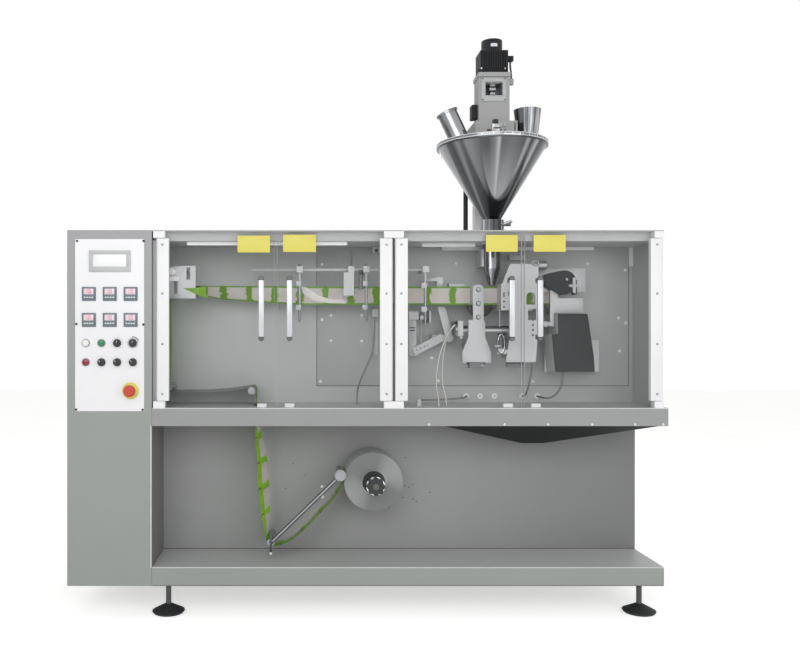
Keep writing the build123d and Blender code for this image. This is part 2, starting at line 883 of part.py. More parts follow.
# Crank linkage left of the first jaw; its outlines start from the crank's joint
cover_y = wall_y - cover_thickness
link_front_y = front_y + 196.0
link_back_y = link_front_y + 10.0
crank_x = right_x - 737.5
crank_z = band_z - 195.5
crank_radius = 16.0
crank_proud = 8.0
slide_block = (-155.0, -118.0, 70.0, 101.0)
slide_panel = (-155.0, -126.0, -70.0, 70.0)
ball_radius = 9.0
ball_place = (-105.0, 78.0)
wall_block = (-66.0, 7.0, -16.0, 11.0)
crank_bar = ((-143.0, -40.0), (-132.0, -69.0), (-21.0, -11.0), (-32.0, 16.0))
rocker_arm = ((-47.0, 121.0), (-17.0, 121.0), (17.0, -6.0), (-12.0, -6.0))
back_guide_y = front_y + 183.0
back_guide_thickness = 6.0
back_guides = ((-92.0, -27.0, 217.0, 229.0), (-50.0, -27.0, 191.0, 233.0), (-4.0, 57.0, 191.0, 206.0))
guide_stud_radius = 6.0
guide_studs = ((-38.0, 220.0), (40.0, 198.5))
with BuildPart() as crank_linkage:
    link_block(slide_block, crank_x, crank_z, link_front_y, cover_y)
    link_block(slide_panel, crank_x, crank_z, link_back_y, cover_y)
    link_block(wall_block, crank_x, crank_z, link_back_y, cover_y)
    front_plate(placed(crank_bar, crank_x, crank_z), link_front_y, link_back_y)
    front_plate(placed(rocker_arm, crank_x, crank_z), link_front_y, link_back_y)
    rod_y(crank_x, crank_z, crank_radius, link_front_y - crank_proud, cover_y)
    rod_y(crank_x + ball_place[0], crank_z + ball_place[1], ball_radius, link_front_y, cover_y)
    for guide in back_guides:
        link_block(guide, crank_x, crank_z, back_guide_y, back_guide_y + back_guide_thickness)
    for stud_x, stud_z in guide_studs:
        rod_y(crank_x + stud_x, crank_z + stud_z, guide_stud_radius, back_guide_y, cover_y)
save(crank_linkage, "crank_linkage")

# First jaw: a bottle-shaped plate on a carrier, closing on the film. Its outline is
# measured from the middle of its rounded top.
jaw_front_y = front_y + 112.0
jaw_back_y = jaw_front_y + 12.0
jaw_x = right_x - 644.5
jaw_arm_half = 19.5
jaw_top_z = band_z + 4.5 - jaw_arm_half
jaw_outline = (
    (-60.0, -273.5),
    (47.0, -273.5),
    (47.0, -233.5),
    (25.0, -177.5),
    (25.0, -124.5),
    (19.5, -113.5),
    (19.5, 0.0),
    (-19.5, 0.0),
    (-19.5, -113.5),
    (-37.0, -113.5),
    (-37.0, -177.5),
    (-60.0, -233.5),
)
jaw_carrier = (-34.0, 34.0, -261.5, -201.5)
jaw_shoe = (-34.0, 16.0, -293.5, -273.5)
jaw_shoe_back = (-34.0, 16.0, -293.5, -261.5)
shoe_depth = 20.0
jaw_pad_half = 20.0
jaw_gap = 0.3
disc_x = jaw_x + 20.0
disc_z = band_z - 69.5
disc_radius = 48.0
disc_back_y = film_y + 22.0
disc_hub_radius = 16.0
film_face_y = film_y - fold_thickness / 2 - jaw_gap
film_rear_y = film_y + fold_thickness / 2 + jaw_gap
rods_y = front_y + 140.0
rods_z = (band_z - 167.5, band_z - 154.5)
rods_radius = 4.5
end_block = (-73.0, -54.0, -173.5, -116.5)
end_block_front_y = front_y + 128.0
seal_left_x = right_x - 523.5
elbow_radius = 5.0
elbow_length = 16.0
elbow_out = 8.0  # elbow's open end from the block's left side
elbow_drop = 14.0
elbow_ys = (front_y + 140.0, front_y + 158.0)
with BuildPart() as sealing_jaw:
    front_plate(placed(jaw_outline, jaw_x, jaw_top_z), jaw_front_y, jaw_back_y)
    rod_y(jaw_x, jaw_top_z, jaw_arm_half, jaw_front_y, jaw_back_y)
    link_block(jaw_carrier, jaw_x, jaw_top_z, jaw_back_y, cover_y)
    link_block(jaw_shoe, jaw_x, jaw_top_z, jaw_back_y - shoe_depth, jaw_back_y)
    link_block(jaw_shoe_back, jaw_x, jaw_top_z, jaw_back_y, jaw_back_y + shoe_depth)
    block(jaw_x - jaw_pad_half, jaw_x + jaw_pad_half, jaw_back_y, film_face_y, fold_low_z, band_z)
    rod_y(disc_x, disc_z, disc_radius, film_rear_y, disc_back_y)
    rod_y(disc_x, disc_z, disc_hub_radius, disc_back_y, cover_y)
    link_block(end_block, jaw_x, jaw_top_z, end_block_front_y, cover_y)
    for rod_level in rods_z:
        rod_x(rods_y, rod_level, rods_radius, jaw_x + end_block[1], seal_left_x)
    elbow_x = jaw_x + end_block[0] - elbow_out
    elbow_z = jaw_top_z + end_block[3] - elbow_drop
    elbow_shift = elbow_length * sin(radians(45)) / 2
    for elbow_y in elbow_ys:
        middle = (elbow_x + elbow_shift, elbow_y, elbow_z + elbow_shift)
        with Locations(Location(middle, (0, -135, 0))):
            Cylinder(elbow_radius, elbow_length)
save(sealing_jaw, "sealing_jaw")

# Sealing unit: front plate, side block and carriers either side of the film, with
# outlines measured from the plate's top left corner
seal_front_y = front_y + 104.0
seal_back_y = seal_front_y + 8.0
seal_top_z = band_z + 7.5
seal_plate = ((-21.0, -293.0), (91.0, -293.0), (101.0, -149.0), (101.0, 0.0), (0.0, 0.0), (-3.0, -179.0))
seal_head = ((-6.0, 73.0), (101.0, 73.0), (101.0, 0.0), (-33.0, 0.0))
window_block = (56.0, 88.0, -79.0, -46.0)
window_round = (72.0, -49.0, 16.0)
seal_notch = (62.0, 92.0, -136.0, -95.0)
seal_cheek = (-38.0, 0.0, -100.0, 0.0)
seal_bar = (-1.0, 54.0, -84.0, 0.0)
seal_backing = (-38.0, 96.0, -100.0, 0.0)
seal_carrier = (2.0, 84.0, -279.0, -169.0)
seal_shoe = (-14.0, 36.0, -313.0, -293.0)
latch_plate = (-53.0, -21.0, -263.0, -243.0)
latch_arm = (-30.0, -4.0, -258.0, -248.0)
latch_front_y = seal_front_y - 6.0
latch_loop_x = (-47.0, -27.0)
latch_loop_top = -188.0
latch_wire_radius = 2.5
latch_bar_radius = 3.0
latch_bar_overrun = 5.0
latch_wire_y = seal_front_y - 2.5
hose_socket = (84.0, 104.0, -209.0, -189.0)
hose_socket_y = (front_y + 132.0, front_y + 148.0)
with BuildPart() as sealing_unit:
    front_plate(placed(seal_plate, seal_left_x, seal_top_z), seal_front_y, seal_back_y)
    link_block(window_block, seal_left_x, seal_top_z, seal_front_y, seal_back_y, Mode.SUBTRACT)
    rod_y(
        seal_left_x + window_round[0],
        seal_top_z + window_round[1],
        window_round[2],
        seal_front_y,
        seal_back_y,
        mode=Mode.SUBTRACT,
    )
    link_block(seal_notch, seal_left_x, seal_top_z, seal_front_y, seal_back_y, Mode.SUBTRACT)
    front_plate(placed(seal_head, seal_left_x, seal_top_z), seal_front_y, seal_back_y)
    link_block(seal_cheek, seal_left_x, seal_top_z, seal_front_y, film_face_y)
    link_block(seal_bar, seal_left_x, seal_top_z, seal_back_y, film_face_y)
    link_block(seal_backing, seal_left_x, seal_top_z, film_rear_y, cover_y)
    link_block(seal_carrier, seal_left_x, seal_top_z, seal_back_y, cover_y)
    link_block(seal_shoe, seal_left_x, seal_top_z, seal_front_y, seal_back_y + shoe_depth)
    link_block(latch_plate, seal_left_x, seal_top_z, latch_front_y, seal_back_y)
    link_block(latch_arm, seal_left_x, seal_top_z, seal_front_y, seal_back_y)
    for wire_x in latch_loop_x:
        rod_z(
            seal_left_x + wire_x,
            latch_wire_y,
            latch_wire_radius,
            seal_top_z + latch_plate[3],
            seal_top_z + latch_loop_top,
        )
    rod_x(
        latch_wire_y,
        seal_top_z + latch_loop_top,
        latch_bar_radius,
        seal_left_x + latch_loop_x[0] - latch_bar_overrun,
        seal_left_x + latch_loop_x[1] + latch_bar_overrun,
    )
    link_block(hose_socket, seal_left_x, seal_top_z, *hose_socket_y)
save(sealing_unit, "sealing_unit")

# Auger tube from the hopper down to the open top of the film
nozzle_low_z = band_z + 4.5
nozzle_taper = 62.0
nozzle_mouth = 12.0
nozzle_wall = 2.0
with BuildPart() as filling_nozzle:
    with BuildSketch(upright(hopper_x, film_y)):
        with BuildLine():
            Polyline(
                (nozzle_mouth - nozzle_wall, nozzle_low_z),
                (nozzle_mouth, nozzle_low_z),
                (neck_radius, nozzle_low_z + nozzle_taper),
                (neck_radius, top_z),
                (neck_radius - nozzle_wall, top_z),
                (neck_radius - nozzle_wall, nozzle_low_z + nozzle_taper),
                close=True,
            )
        make_face()
    revolve(axis=Axis((hopper_x, film_y, 0), (0, 0, 1)))
save(filling_nozzle, "filling_nozzle")

# Hopper: a collar with a toggle on the roof, a cone above it and a flat lid
flange_radius = 46.0
collar_height = 57.0
cone_height = 281.0
cone_wall = 3.0
lid_thickness = 8.0
lid_reach = 3.0  # lid past the cone's rim
toggle_radius = 7.0
toggle_reach = 26.0
collar_top_z = top_z + collar_height
rim_z = collar_top_z + cone_height
rim_radius = lid_radius - lid_reach
toggle_z = top_z + collar_height - 2 * toggle_radius
with BuildPart() as hopper_cone:
    rod_z(hopper_x, film_y, flange_radius, top_z, collar_top_z)
    rod_x(film_y, toggle_z, toggle_radius, hopper_x, hopper_x + flange_radius + toggle_reach)
    rod_z(hopper_x, film_y, neck_radius - nozzle_wall, top_z, collar_top_z, mode=Mode.SUBTRACT)
    with BuildSketch(upright(hopper_x, film_y)):
        with BuildLine():
            Polyline(
                (neck_radius - cone_wall, collar_top_z),
                (neck_radius, collar_top_z),
                (rim_radius, rim_z),
                (rim_radius - cone_wall, rim_z),
                close=True,
            )
        make_face()
    revolve(axis=Axis((hopper_x, film_y, 0), (0, 0, 1)))
save(hopper_cone, "hopper_cone")

lid_z = rim_z + lid_thickness
port_tilt = 25.0
port_radius = 37.0
port_wall = 2.0
port_length = 130.0
port_rim = 5.0
port_rim_height = 8.0
port_x = hopper_x - 120.0
port_y = film_y - 20.0
inlet_x = hopper_x + 130.0
inlet_low_radius = 36.0
inlet_high_radius = 51.0
inlet_height = 126.0
port_axis = Location((port_x, port_y, lid_z), (0, -port_tilt, 0))
with BuildPart() as hopper_lid:
    rod_z(hopper_x, film_y, lid_radius, rim_z, lid_z)
    rod_z(inlet_x, port_y, inlet_low_radius - port_wall, rim_z, lid_z, mode=Mode.SUBTRACT)
    with Locations(port_axis):
        Cylinder(port_radius - port_wall, port_length, mode=Mode.SUBTRACT)
save(hopper_lid, "hopper_lid")

with BuildPart() as hopper_inlets:
    with Locations(port_axis * Location((0, 0, port_length / 2))):
        Cylinder(port_radius, port_length)
    with Locations(port_axis * Location((0, 0, port_length - port_rim_height / 2))):
        Cylinder(port_radius + port_rim, port_rim_height)
    with Locations(port_axis):
        Cylinder(port_radius, 2 * port_radius)
    with Locations(port_axis):
        Cylinder(port_radius - port_wall, 3 * port_length, mode=Mode.SUBTRACT)
    block(
        port_x - port_length,
        port_x + port_length,
        port_y - port_length,
        port_y + port_length,
        lid_z - port_length,
        lid_z,
        mode=Mode.SUBTRACT,
    )
    with BuildSketch(upright(inlet_x, port_y)):
        with BuildLine():
            Polyline(
                (inlet_low_radius - port_wall, lid_z),
                (inlet_low_radius, lid_z),
                (inlet_high_radius, lid_z + inlet_height),
                (inlet_high_radius - port_wall, lid_z + inlet_height),
                close=True,
            )
        make_face()
    revolve(axis=Axis((inlet_x, port_y, 0), (0, 0, 1)))
save(hopper_inlets, "hopper_inlets")

# Auger drive on the lid: base box, column with a window on its coupling, and flange
base_half = 78.0
base_height_on_lid = 72.0
drive_half = 58.0
drive_depth_half = 40.0
drive_height = 173.0
window_half = 32.0
window_low = 99.0
window_high = 153.0
window_depth = 60.0
coupling_radius = 11.0
coupling_inset = 38.0
flange_half = 60.0
flange_depth_half = 50.0
flange_thickness = 16.0
rim_clamp = (-45.0, -17.0)
rim_clamp_y = (front_y - 30.0, front_y - 8.0)
rim_clamp_height = 29.0
clamp_knob_radius = 11.0
clamp_knob_height = 17.0
cable_socket = 18.0
cable_y = front_y + 150.0
column_socket_z = (149.0, 171.0)
drive_base_z = lid_z + base_height_on_lid
drive_top_z = drive_base_z + drive_height
flange_z = drive_top_z + flange_thickness
with BuildPart() as drive_column:
    block(
        hopper_x - base_half,
        hopper_x + base_half,
        film_y - base_half,
        film_y + base_half,
        lid_z,
        drive_base_z,
    )
    block(
        hopper_x - drive_half,
        hopper_x + drive_half,
        film_y - drive_depth_half,
        film_y + drive_depth_half,
        drive_base_z,
        drive_top_z,
    )
    block(
        hopper_x - window_half,
        hopper_x + window_half,
        film_y - drive_depth_half,
        film_y - drive_depth_half + window_depth,
        drive_base_z + window_low,
        drive_base_z + window_high,
        mode=Mode.SUBTRACT,
    )
    rod_z(
        hopper_x,
        film_y - drive_depth_half + coupling_inset,
        coupling_radius,
        drive_base_z + window_low,
        drive_base_z + window_high,
    )
    block(
        hopper_x - flange_half,
        hopper_x + flange_half,
        film_y - flange_depth_half,
        film_y + flange_depth_half,
        drive_top_z,
        flange_z,
    )
    block(
        hopper_x + drive_half,
        hopper_x + drive_half + cable_socket,
        cable_y - cable_socket / 2,
        cable_y + cable_socket / 2,
        drive_base_z + column_socket_z[0],
        drive_base_z + column_socket_z[1],
    )
    block(
        hopper_x + rim_clamp[0],
        hopper_x + rim_clamp[1],
        *rim_clamp_y,
        lid_z,
        lid_z + rim_clamp_height,
    )
    rod_z(
        hopper_x + sum(rim_clamp) / 2,
        sum(rim_clamp_y) / 2,
        clamp_knob_radius,
        lid_z + rim_clamp_height,
        lid_z + rim_clamp_height + clamp_knob_height,
    )
save(drive_column, "drive_column")

# Motor with its cap, and the black switch box on the column's left side
motor_half = 52.0
motor_depth_half = 44.0
motor_height = 85.0
motor_cap_radius = 39.0
motor_cap_height = 46.0
switch_box_width = 22.0
switch_box_z = (22.0, 75.0)
switch_box_y = (front_y + 150.0, front_y + 190.0)
motor_socket_z = (48.0, 68.0)
with BuildPart() as auger_motor:
    block(
        hopper_x - motor_half,
        hopper_x + motor_half,
        film_y - motor_depth_half,
        film_y + motor_depth_half,
        flange_z,
        flange_z + motor_height,
    )
    rod_z(
        hopper_x,
        film_y,
        motor_cap_radius,
        flange_z + motor_height,
        flange_z + motor_height + motor_cap_height,
    )
    block(
        hopper_x + motor_half,
        hopper_x + drive_half + cable_socket,
        cable_y - cable_socket / 2,
        cable_y + cable_socket / 2,
        flange_z + motor_socket_z[0],
        flange_z + motor_socket_z[1],
    )
    block(
        hopper_x - drive_half - switch_box_width,
        hopper_x - drive_half,
        *switch_box_y,
        drive_base_z + switch_box_z[0],
        drive_base_z + switch_box_z[1],
    )
save(auger_motor, "auger_motor")

# Cutter at the outfeed end; its outlines start from the middle of the round cover
cutter_x = right_x - 327.5
cutter_z = band_z + 7.5
cutter_front_y = front_y + 92.0
cutter_middle_y = front_y + 120.0
cutter_back_y = front_y + 150.0
cutter_plate_thickness = 6.0
cutter_plate = (-84.0, 96.0, -30.0, 59.0)
cutter_post = (80.0, 96.0, 16.0, 46.0)
cutter_box = (-29.0, 77.0, -112.0, -54.0)
cutter_arm = (-20.0, 77.0, -112.0, -84.0)
blade_plate = (-46.0, -16.0, -108.0, -15.0)
blade_foot = (-46.0, -31.0, -160.0, -108.0)  # beside the chute
blade_plate_thickness = 8.0
blade_round = (-31.0, -15.0, 15.0)
cutter_knob = (-67.0, -151.0, 11.0)
knob_arm = (-72.0, -46.0, -159.0, -143.0)
air_fitting = (42.0, 54.0, -41.0, 14.0)
cover_round_radius = 41.0
cover_wing = (-80.0, 0.0, 6.0, 41.0)
cover_core = (-50.0, 30.0, 9.0, 36.0)

# Chute below the cutter, measured from its top left corner, with plates behind it
chute_x = right_x - 355.5
chute_z = fold_low_z - 35.0
chute_depth = (front_y + 90.0, front_y + 200.0)
chute_outline = (
    (0.0, 0.0),
    (111.0, 0.0),
    (135.0, -161.0),
    (138.0, -216.0),
    (-9.0, -216.0),
    (-15.0, -157.0),
    (-22.0, -77.0),
    (2.0, -74.0),
)
chute_wall = 3.0
# steps from each outer corner to the inner one, in walls; the ends run past to stay open
chute_steps = ((1, 1), (-1, 1), (-1, 0), (-1, -1), (1, -1), (1, 0), (2, -1), (1, -1))
chute_inside = [
    (x + chute_wall * across, z + chute_wall * up)
    for (x, z), (across, up) in zip(chute_outline, chute_steps)
]
air_nozzle = (23.0, 53.0, -216.0, -196.0)
air_nozzle_front_y = front_y + 135.0
back_plates = ((-16.0, 193.0, -220.0, -156.0), (138.0, 193.0, -156.0, -98.0))
back_plate_thickness = 6.0
back_arm = (8.0, 168.0, -200.0, -160.0)
with BuildPart() as cutter_bracket:
    plate_back_y = cutter_back_y + cutter_plate_thickness
    link_block(cutter_plate, cutter_x, cutter_z, cutter_back_y, plate_back_y)
    link_block(cutter_post, cutter_x, cutter_z, plate_back_y, cover_y)
    link_block(cutter_box, cutter_x, cutter_z, cutter_middle_y, cutter_back_y)
    link_block(cutter_arm, cutter_x, cutter_z, cutter_back_y, cover_y)
    blade_back_y = cutter_middle_y + blade_plate_thickness
    link_block(blade_plate, cutter_x, cutter_z, cutter_middle_y, blade_back_y)
    link_block(blade_foot, cutter_x, cutter_z, cutter_middle_y, blade_back_y)
    rod_y(
        cutter_x + blade_round[0],
        cutter_z + blade_round[1],
        blade_round[2],
        cutter_middle_y,
        blade_back_y,
    )
    link_block(knob_arm, cutter_x, cutter_z, cutter_middle_y, blade_back_y)
    rod_y(
        cutter_x + cutter_knob[0],
        cutter_z + cutter_knob[1],
        cutter_knob[2],
        cutter_middle_y - cutter_knob[2],
        cutter_middle_y,
    )
    link_block(air_fitting, cutter_x, cutter_z, cutter_middle_y, cutter_back_y)
    for back_plate in back_plates:
        link_block(back_plate, chute_x, chute_z, chute_depth[1], chute_depth[1] + back_plate_thickness)
    link_block(back_arm, chute_x, chute_z, chute_depth[1] + back_plate_thickness, cover_y)
save(cutter_bracket, "cutter_bracket")

with BuildPart() as cutter_cover:
    rod_y(cutter_x, cutter_z, cover_round_radius, cutter_front_y, cutter_middle_y)
    link_block(cover_wing, cutter_x, cutter_z, cutter_front_y, cutter_middle_y)
    link_block(cover_core, cutter_x, cutter_z, cutter_middle_y, cutter_back_y)
save(cutter_cover, "cutter_cover")

with BuildPart() as discharge_chute:
    front_plate(placed(chute_outline, chute_x, chute_z), *chute_depth)
    inside_front_y = chute_depth[0] + chute_wall
    inside_back_y = chute_depth[1] - chute_wall
    front_plate(placed(chute_inside, chute_x, chute_z), inside_front_y, inside_back_y, Mode.SUBTRACT)
    link_block(air_nozzle, chute_x, chute_z, air_nozzle_front_y, inside_back_y)
save(discharge_chute, "discharge_chute")

# Under the roof: white bars, a bracket and a connector; behind the hopper: a post and a pipe
bar_height = 13.0
roof_bars = (
    (column_x + 119.5, column_x + 706.5, front_y + 50.0, front_y + 70.0),
    (right_x - 758.5, right_x - 169.5, front_y + 235.0, front_y + 250.0),
    (right_x - 855.5, right_x - 657.5, front_y + 105.0, front_y + 120.0),
)
bracket_depth = 9.0
roof_bracket = (right_x - 25.0, right_x - side_thickness, wall_y - bracket_depth, wall_y)
roof_bracket_drop = 74.0
connector = (right_x - 1031.5, right_x - 1000.5, front_y + 215.0, front_y + 240.0)
connector_drop = 27.0
post_behind = (hopper_x - 40.0, hopper_x, front_y + 290.0, front_y + 330.0)
post_behind_height = 137.0
pipe_x = hopper_x - 73.0
pipe_y = front_y + 300.0
pipe_radius = 9.0
pipe_height = 216.0
with BuildPart() as roof_fittings:
    for bar in roof_bars:
        block(*bar, roof_under_z - bar_height, roof_under_z)
    block(*roof_bracket, roof_under_z - roof_bracket_drop, roof_under_z)
    block(*connector, roof_under_z - connector_drop, roof_under_z)
    block(*post_behind, top_z, top_z + post_behind_height)
    rod_z(pipe_x, pipe_y, pipe_radius, top_z, top_z + pipe_height)
save(roof_fittings, "roof_fittings")

# Grommets where hoses leave the back wall, and the two sockets that hoses end in
grommet_radius = 11.5
grommet_lip = 4.0
grommet_z = counter_z + 24.0
grommet_xs = [right_x - reach for reach in (661.5, 606.5, 550.5, 442.5, 383.5)]
counter_socket = (-875.5, -861.5)
counter_socket_y = (front_y + 92.0, front_y + 106.0)
counter_socket_height = 24.0
wall_fitting = (right_x - 1031.5, right_x - 1008.5)
wall_fitting_front_y = front_y + 224.0
wall_fitting_z = (band_z - 114.5, band_z - 83.5)
with BuildPart() as grommets:
    for grommet_x in grommet_xs:
        rod_y(grommet_x, grommet_z, grommet_radius, wall_y - grommet_lip, wall_y)
    block(
        right_x + counter_socket[0],
        right_x + counter_socket[1],
        *counter_socket_y,
        counter_z,
        counter_z + counter_socket_height,
    )
    block(*wall_fitting, wall_fitting_front_y, cover_y, *wall_fitting_z)
save(grommets, "grommets")


# Hoses and cables: each route is a list of points in X, depth behind the front and Z
bend_share = 0.45
hose_diameter = 6.0
air_hose_diameter = 7.0
cable_diameter = 7.0


def hose(route, diameter, name):
    points = [Vector(x, front_y + depth, z) for x, depth, z in route]
    radii = []
    for before, corner, after in zip(points, points[1:], points[2:]):
        half_turn = radians((corner - before).get_angle(after - corner)) / 2
        shorter = min((corner - before).length, (after - corner).length)
        radii.append(bend_share * shorter / tan(half_turn))
    with BuildPart() as tube:
        with BuildLine() as line:
            FilletPolyline(*points, radius=radii)
        with BuildSketch(Plane(origin=points[0], z_dir=points[1] - points[0])):
            Circle(diameter / 2)
        sweep(path=line.wires()[0])
    length = line.wires()[0].length
    print(name, "length", round(length, 1), "tightest bend", round(min(radii), 1))
    save(tube, name)


jaw_hose_front_route = [
    (342, 140, 1056),
    (317, 140, 1031),
    (298, 137, 988),
    (278, 128, 934),
    (268, 116, 880),
    (262, 100, 826),
    (270, 84, 784),
    (270, 84, 754),
]
hose(jaw_hose_front_route, hose_diameter, "jaw_hose_front")

jaw_hose_rear_route = [
    (342, 158, 1056),
    (319, 158, 1033),
    (307, 154, 988),
    (296, 144, 936),
    (290, 130, 884),
    (288, 114, 832),
    (300, 96, 786),
    (300, 96, 754),
]
hose(jaw_hose_rear_route, hose_diameter, "jaw_hose_rear")

counter_hose_route = [
    (406, 256, 778),
    (406, 220, 778),
    (380, 196, 775),
    (334, 187, 772),
    (286, 179, 770),
    (236, 168, 770),
    (199, 144, 770),
    (199, 106, 770),
]
hose(counter_hose_route, hose_diameter, "counter_hose")

seal_hose_route = [
    (625, 256, 778),
    (625, 218, 778),
    (628, 190, 806),
    (633, 172, 852),
    (637, 156, 902),
    (638, 140, 952),
    (638, 140, 1000),
]
hose(seal_hose_route, hose_diameter, "seal_hose")

chute_hose_route = [
    (684, 256, 778),
    (684, 222, 778),
    (704, 196, 772),
    (730, 174, 786),
    (748, 158, 822),
    (750, 150, 852),
    (750, 150, 880),
]
hose(chute_hose_route, air_hose_diameter, "chute_hose")

wall_hose_route = [
    (47, 236, 1087),
    (47, 236, 1040),
    (45, 234, 988),
    (34, 228, 938),
    (12, 216, 890),
    (-10, 198, 848),
    (-24, 172, 812),
    (-28, 146, 782),
    (-28, 146, 754),
]
hose(wall_hose_route, hose_diameter, "wall_hose")

motor_cable_route = [
    (551, 150, 2050),
    (551, 150, 2029),
    (555, 150, 2006),
    (555, 150, 1984),
]
hose(motor_cable_route, cable_diameter, "motor_cable")

print("film wraps rollers at", round(wrap_radius, 2), "mm")
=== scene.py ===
import bpy
import bmesh
import math
from mathutils import Matrix, Vector


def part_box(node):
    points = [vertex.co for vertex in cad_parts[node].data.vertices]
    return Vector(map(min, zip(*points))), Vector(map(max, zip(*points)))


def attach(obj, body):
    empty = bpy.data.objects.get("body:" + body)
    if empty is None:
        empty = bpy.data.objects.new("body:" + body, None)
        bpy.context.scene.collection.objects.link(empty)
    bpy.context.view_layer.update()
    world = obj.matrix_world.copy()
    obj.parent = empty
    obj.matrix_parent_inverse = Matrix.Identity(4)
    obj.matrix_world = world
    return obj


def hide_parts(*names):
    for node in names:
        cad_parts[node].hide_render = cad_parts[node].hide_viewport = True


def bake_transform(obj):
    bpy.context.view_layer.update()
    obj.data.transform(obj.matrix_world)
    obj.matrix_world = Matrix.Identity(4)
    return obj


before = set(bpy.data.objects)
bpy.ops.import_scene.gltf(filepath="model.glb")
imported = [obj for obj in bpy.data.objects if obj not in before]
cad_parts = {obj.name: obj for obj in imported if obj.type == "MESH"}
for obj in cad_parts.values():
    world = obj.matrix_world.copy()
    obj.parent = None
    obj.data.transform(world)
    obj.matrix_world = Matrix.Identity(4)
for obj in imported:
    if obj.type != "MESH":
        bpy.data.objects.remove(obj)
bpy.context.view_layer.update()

# Places that the pieces below start from, in metres, read from the frame
columnLow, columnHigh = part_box("control_cabinet")
counterLow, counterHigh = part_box("counter")
trayLow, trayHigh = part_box("base_tray")
roofLow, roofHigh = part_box("roof_panel")
wallLow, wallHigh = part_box("back_wall")
coverLow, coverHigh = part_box("cover_panel")
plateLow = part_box("control_panel")[0]
lidLow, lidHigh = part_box("hopper_lid")
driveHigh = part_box("drive_column")[1]
motorLow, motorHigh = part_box("auger_motor")
bandLow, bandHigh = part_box("folded_film")
chuteLow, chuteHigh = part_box("discharge_chute")
coneLow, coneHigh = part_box("hopper_cone")
frontY = columnLow.y
filmMiddleY = frontY + 0.170
columnX = columnHigh.x
hopperX = (lidLow.x + lidHigh.x) / 2

# The photograph's camera: level, looking along +Y from a distance before the front plane
cameraView = {
    "across": -0.251,
    "height": 1.017,
    "distance": 2.988,
    "focalPixels": 830.0,
    "vanishingPoint": (298.0, 335.0),
    "imageSize": (800, 658),
    "sensor": 36.0,
}


def seen(px, py, depth):
    # X and Z of what the photograph shows at a pixel, at a depth behind the front plane
    reach = reachAt(depth)
    middleX, middleY = cameraView["vanishingPoint"]
    return cameraView["across"] + (px - middleX) * reach, cameraView["height"] - (py - middleY) * reach


def reachAt(depth):
    # how many metres a pixel spans at a depth behind the front plane
    return (cameraView["distance"] + depth) / cameraView["focalPixels"]


def seenPoint(px, py, depth):
    x, z = seen(px, py, depth)
    return x, frontY + depth, z


def linear(hexColour):
    # sRGB hex to the linear values that Blender's sockets take
    channels = [int(hexColour[start:start + 2], 16) / 255 for start in (0, 2, 4)]
    return tuple([c / 12.92 if c <= 0.04045 else ((c + 0.055) / 1.055) ** 2.4 for c in channels] + [1.0])


def addNode(tree, kind, values=None, links=None, **settings):
    # adds one node, sets its properties and its sockets, and links sockets to outputs. A node
    # given for an output stands for its first one.
    node = tree.nodes.new("ShaderNode" + kind)
    for name, value in settings.items():
        setattr(node, name, value)
    for socket, value in (values or {}).items():
        node.inputs[socket].default_value = value
    for socket, source in (links or {}).items():
        output = source.outputs[0] if isinstance(source, bpy.types.Node) else source
        tree.links.new(output, node.inputs[socket])
    return node


def span(start, stop, low=0.0, high=1.0):
    # socket values that map one range to another
    return {"From Min": start, "From Max": stop, "To Min": low, "To Max": high}


def newMaterial(name):
    material = bpy.data.materials.new(name)
    material.use_nodes = True
    material.node_tree.nodes.clear()
    return material, material.node_tree


# A surface with slow colour drift, a fine grain in its roughness and a slight relief. The values
# are its dark and light tone, drift and grain in millimetres, its roughness from and to, and its
# relief. Stretch draws the grain out along an axis.
def grained(
    name, dark, light, drift, grain, roughness, relief, stretch=(1, 1, 1), metallic=0.0, sockets=None,
):
    material, tree = newMaterial(name)
    place = addNode(tree, "TexCoord").outputs["Object"]
    stretched = addNode(tree, "Mapping", {"Scale": stretch}, {"Vector": place})
    slow = addNode(
        tree, "TexNoise", {"Scale": 1000 / drift, "Detail": 3.0, "Roughness": 0.6}, {"Vector": place},
    )
    fine = addNode(
        tree, "TexNoise", {"Scale": 1000 / grain, "Detail": 2.0, "Roughness": 0.55}, {"Vector": stretched},
    )
    colour = addNode(tree, "MixRGB", {"Color1": linear(dark), "Color2": linear(light)}, {"Fac": slow})
    rough = addNode(tree, "MapRange", span(0.3, 0.7, *roughness), {"Value": fine})
    bump = addNode(tree, "Bump", {"Strength": relief, "Distance": 0.001}, {"Height": fine})
    shader = addNode(
        tree, "BsdfPrincipled", {"Metallic": metallic, **(sockets or {})},
        {"Base Color": colour, "Roughness": rough, "Normal": bump},
    )
    addNode(tree, "OutputMaterial", links={"Surface": shader})
    return material


def baseColour(tree):
    # the shader's colour socket and what feeds it
    socket = [node for node in tree.nodes if node.type == "BSDF_PRINCIPLED"][0].inputs["Base Color"]
    return socket, socket.links[0].from_socket


def coatOver(tree, factor, hexColour):
    # a colour over the one that the shader has, as far as the factor says
    socket, plain = baseColour(tree)
    mixed = addNode(tree, "MixRGB", {"Color2": linear(hexColour)}, {"Fac": factor, "Color1": plain})
    tree.links.new(mixed.outputs[0], socket)


def objectSplit(tree):
    return addNode(tree, "SeparateXYZ", links={0: addNode(tree, "TexCoord").outputs["Object"]})


def shadeAlong(material, axis, start, stop, hexColour):
    # the colour turns to another one from one place along an axis to the next: a painted light and shade
    tree = material.node_tree
    fade = addNode(tree, "MapRange", span(start, stop), {"Value": objectSplit(tree).outputs[axis]})
    coatOver(tree, fade, hexColour)
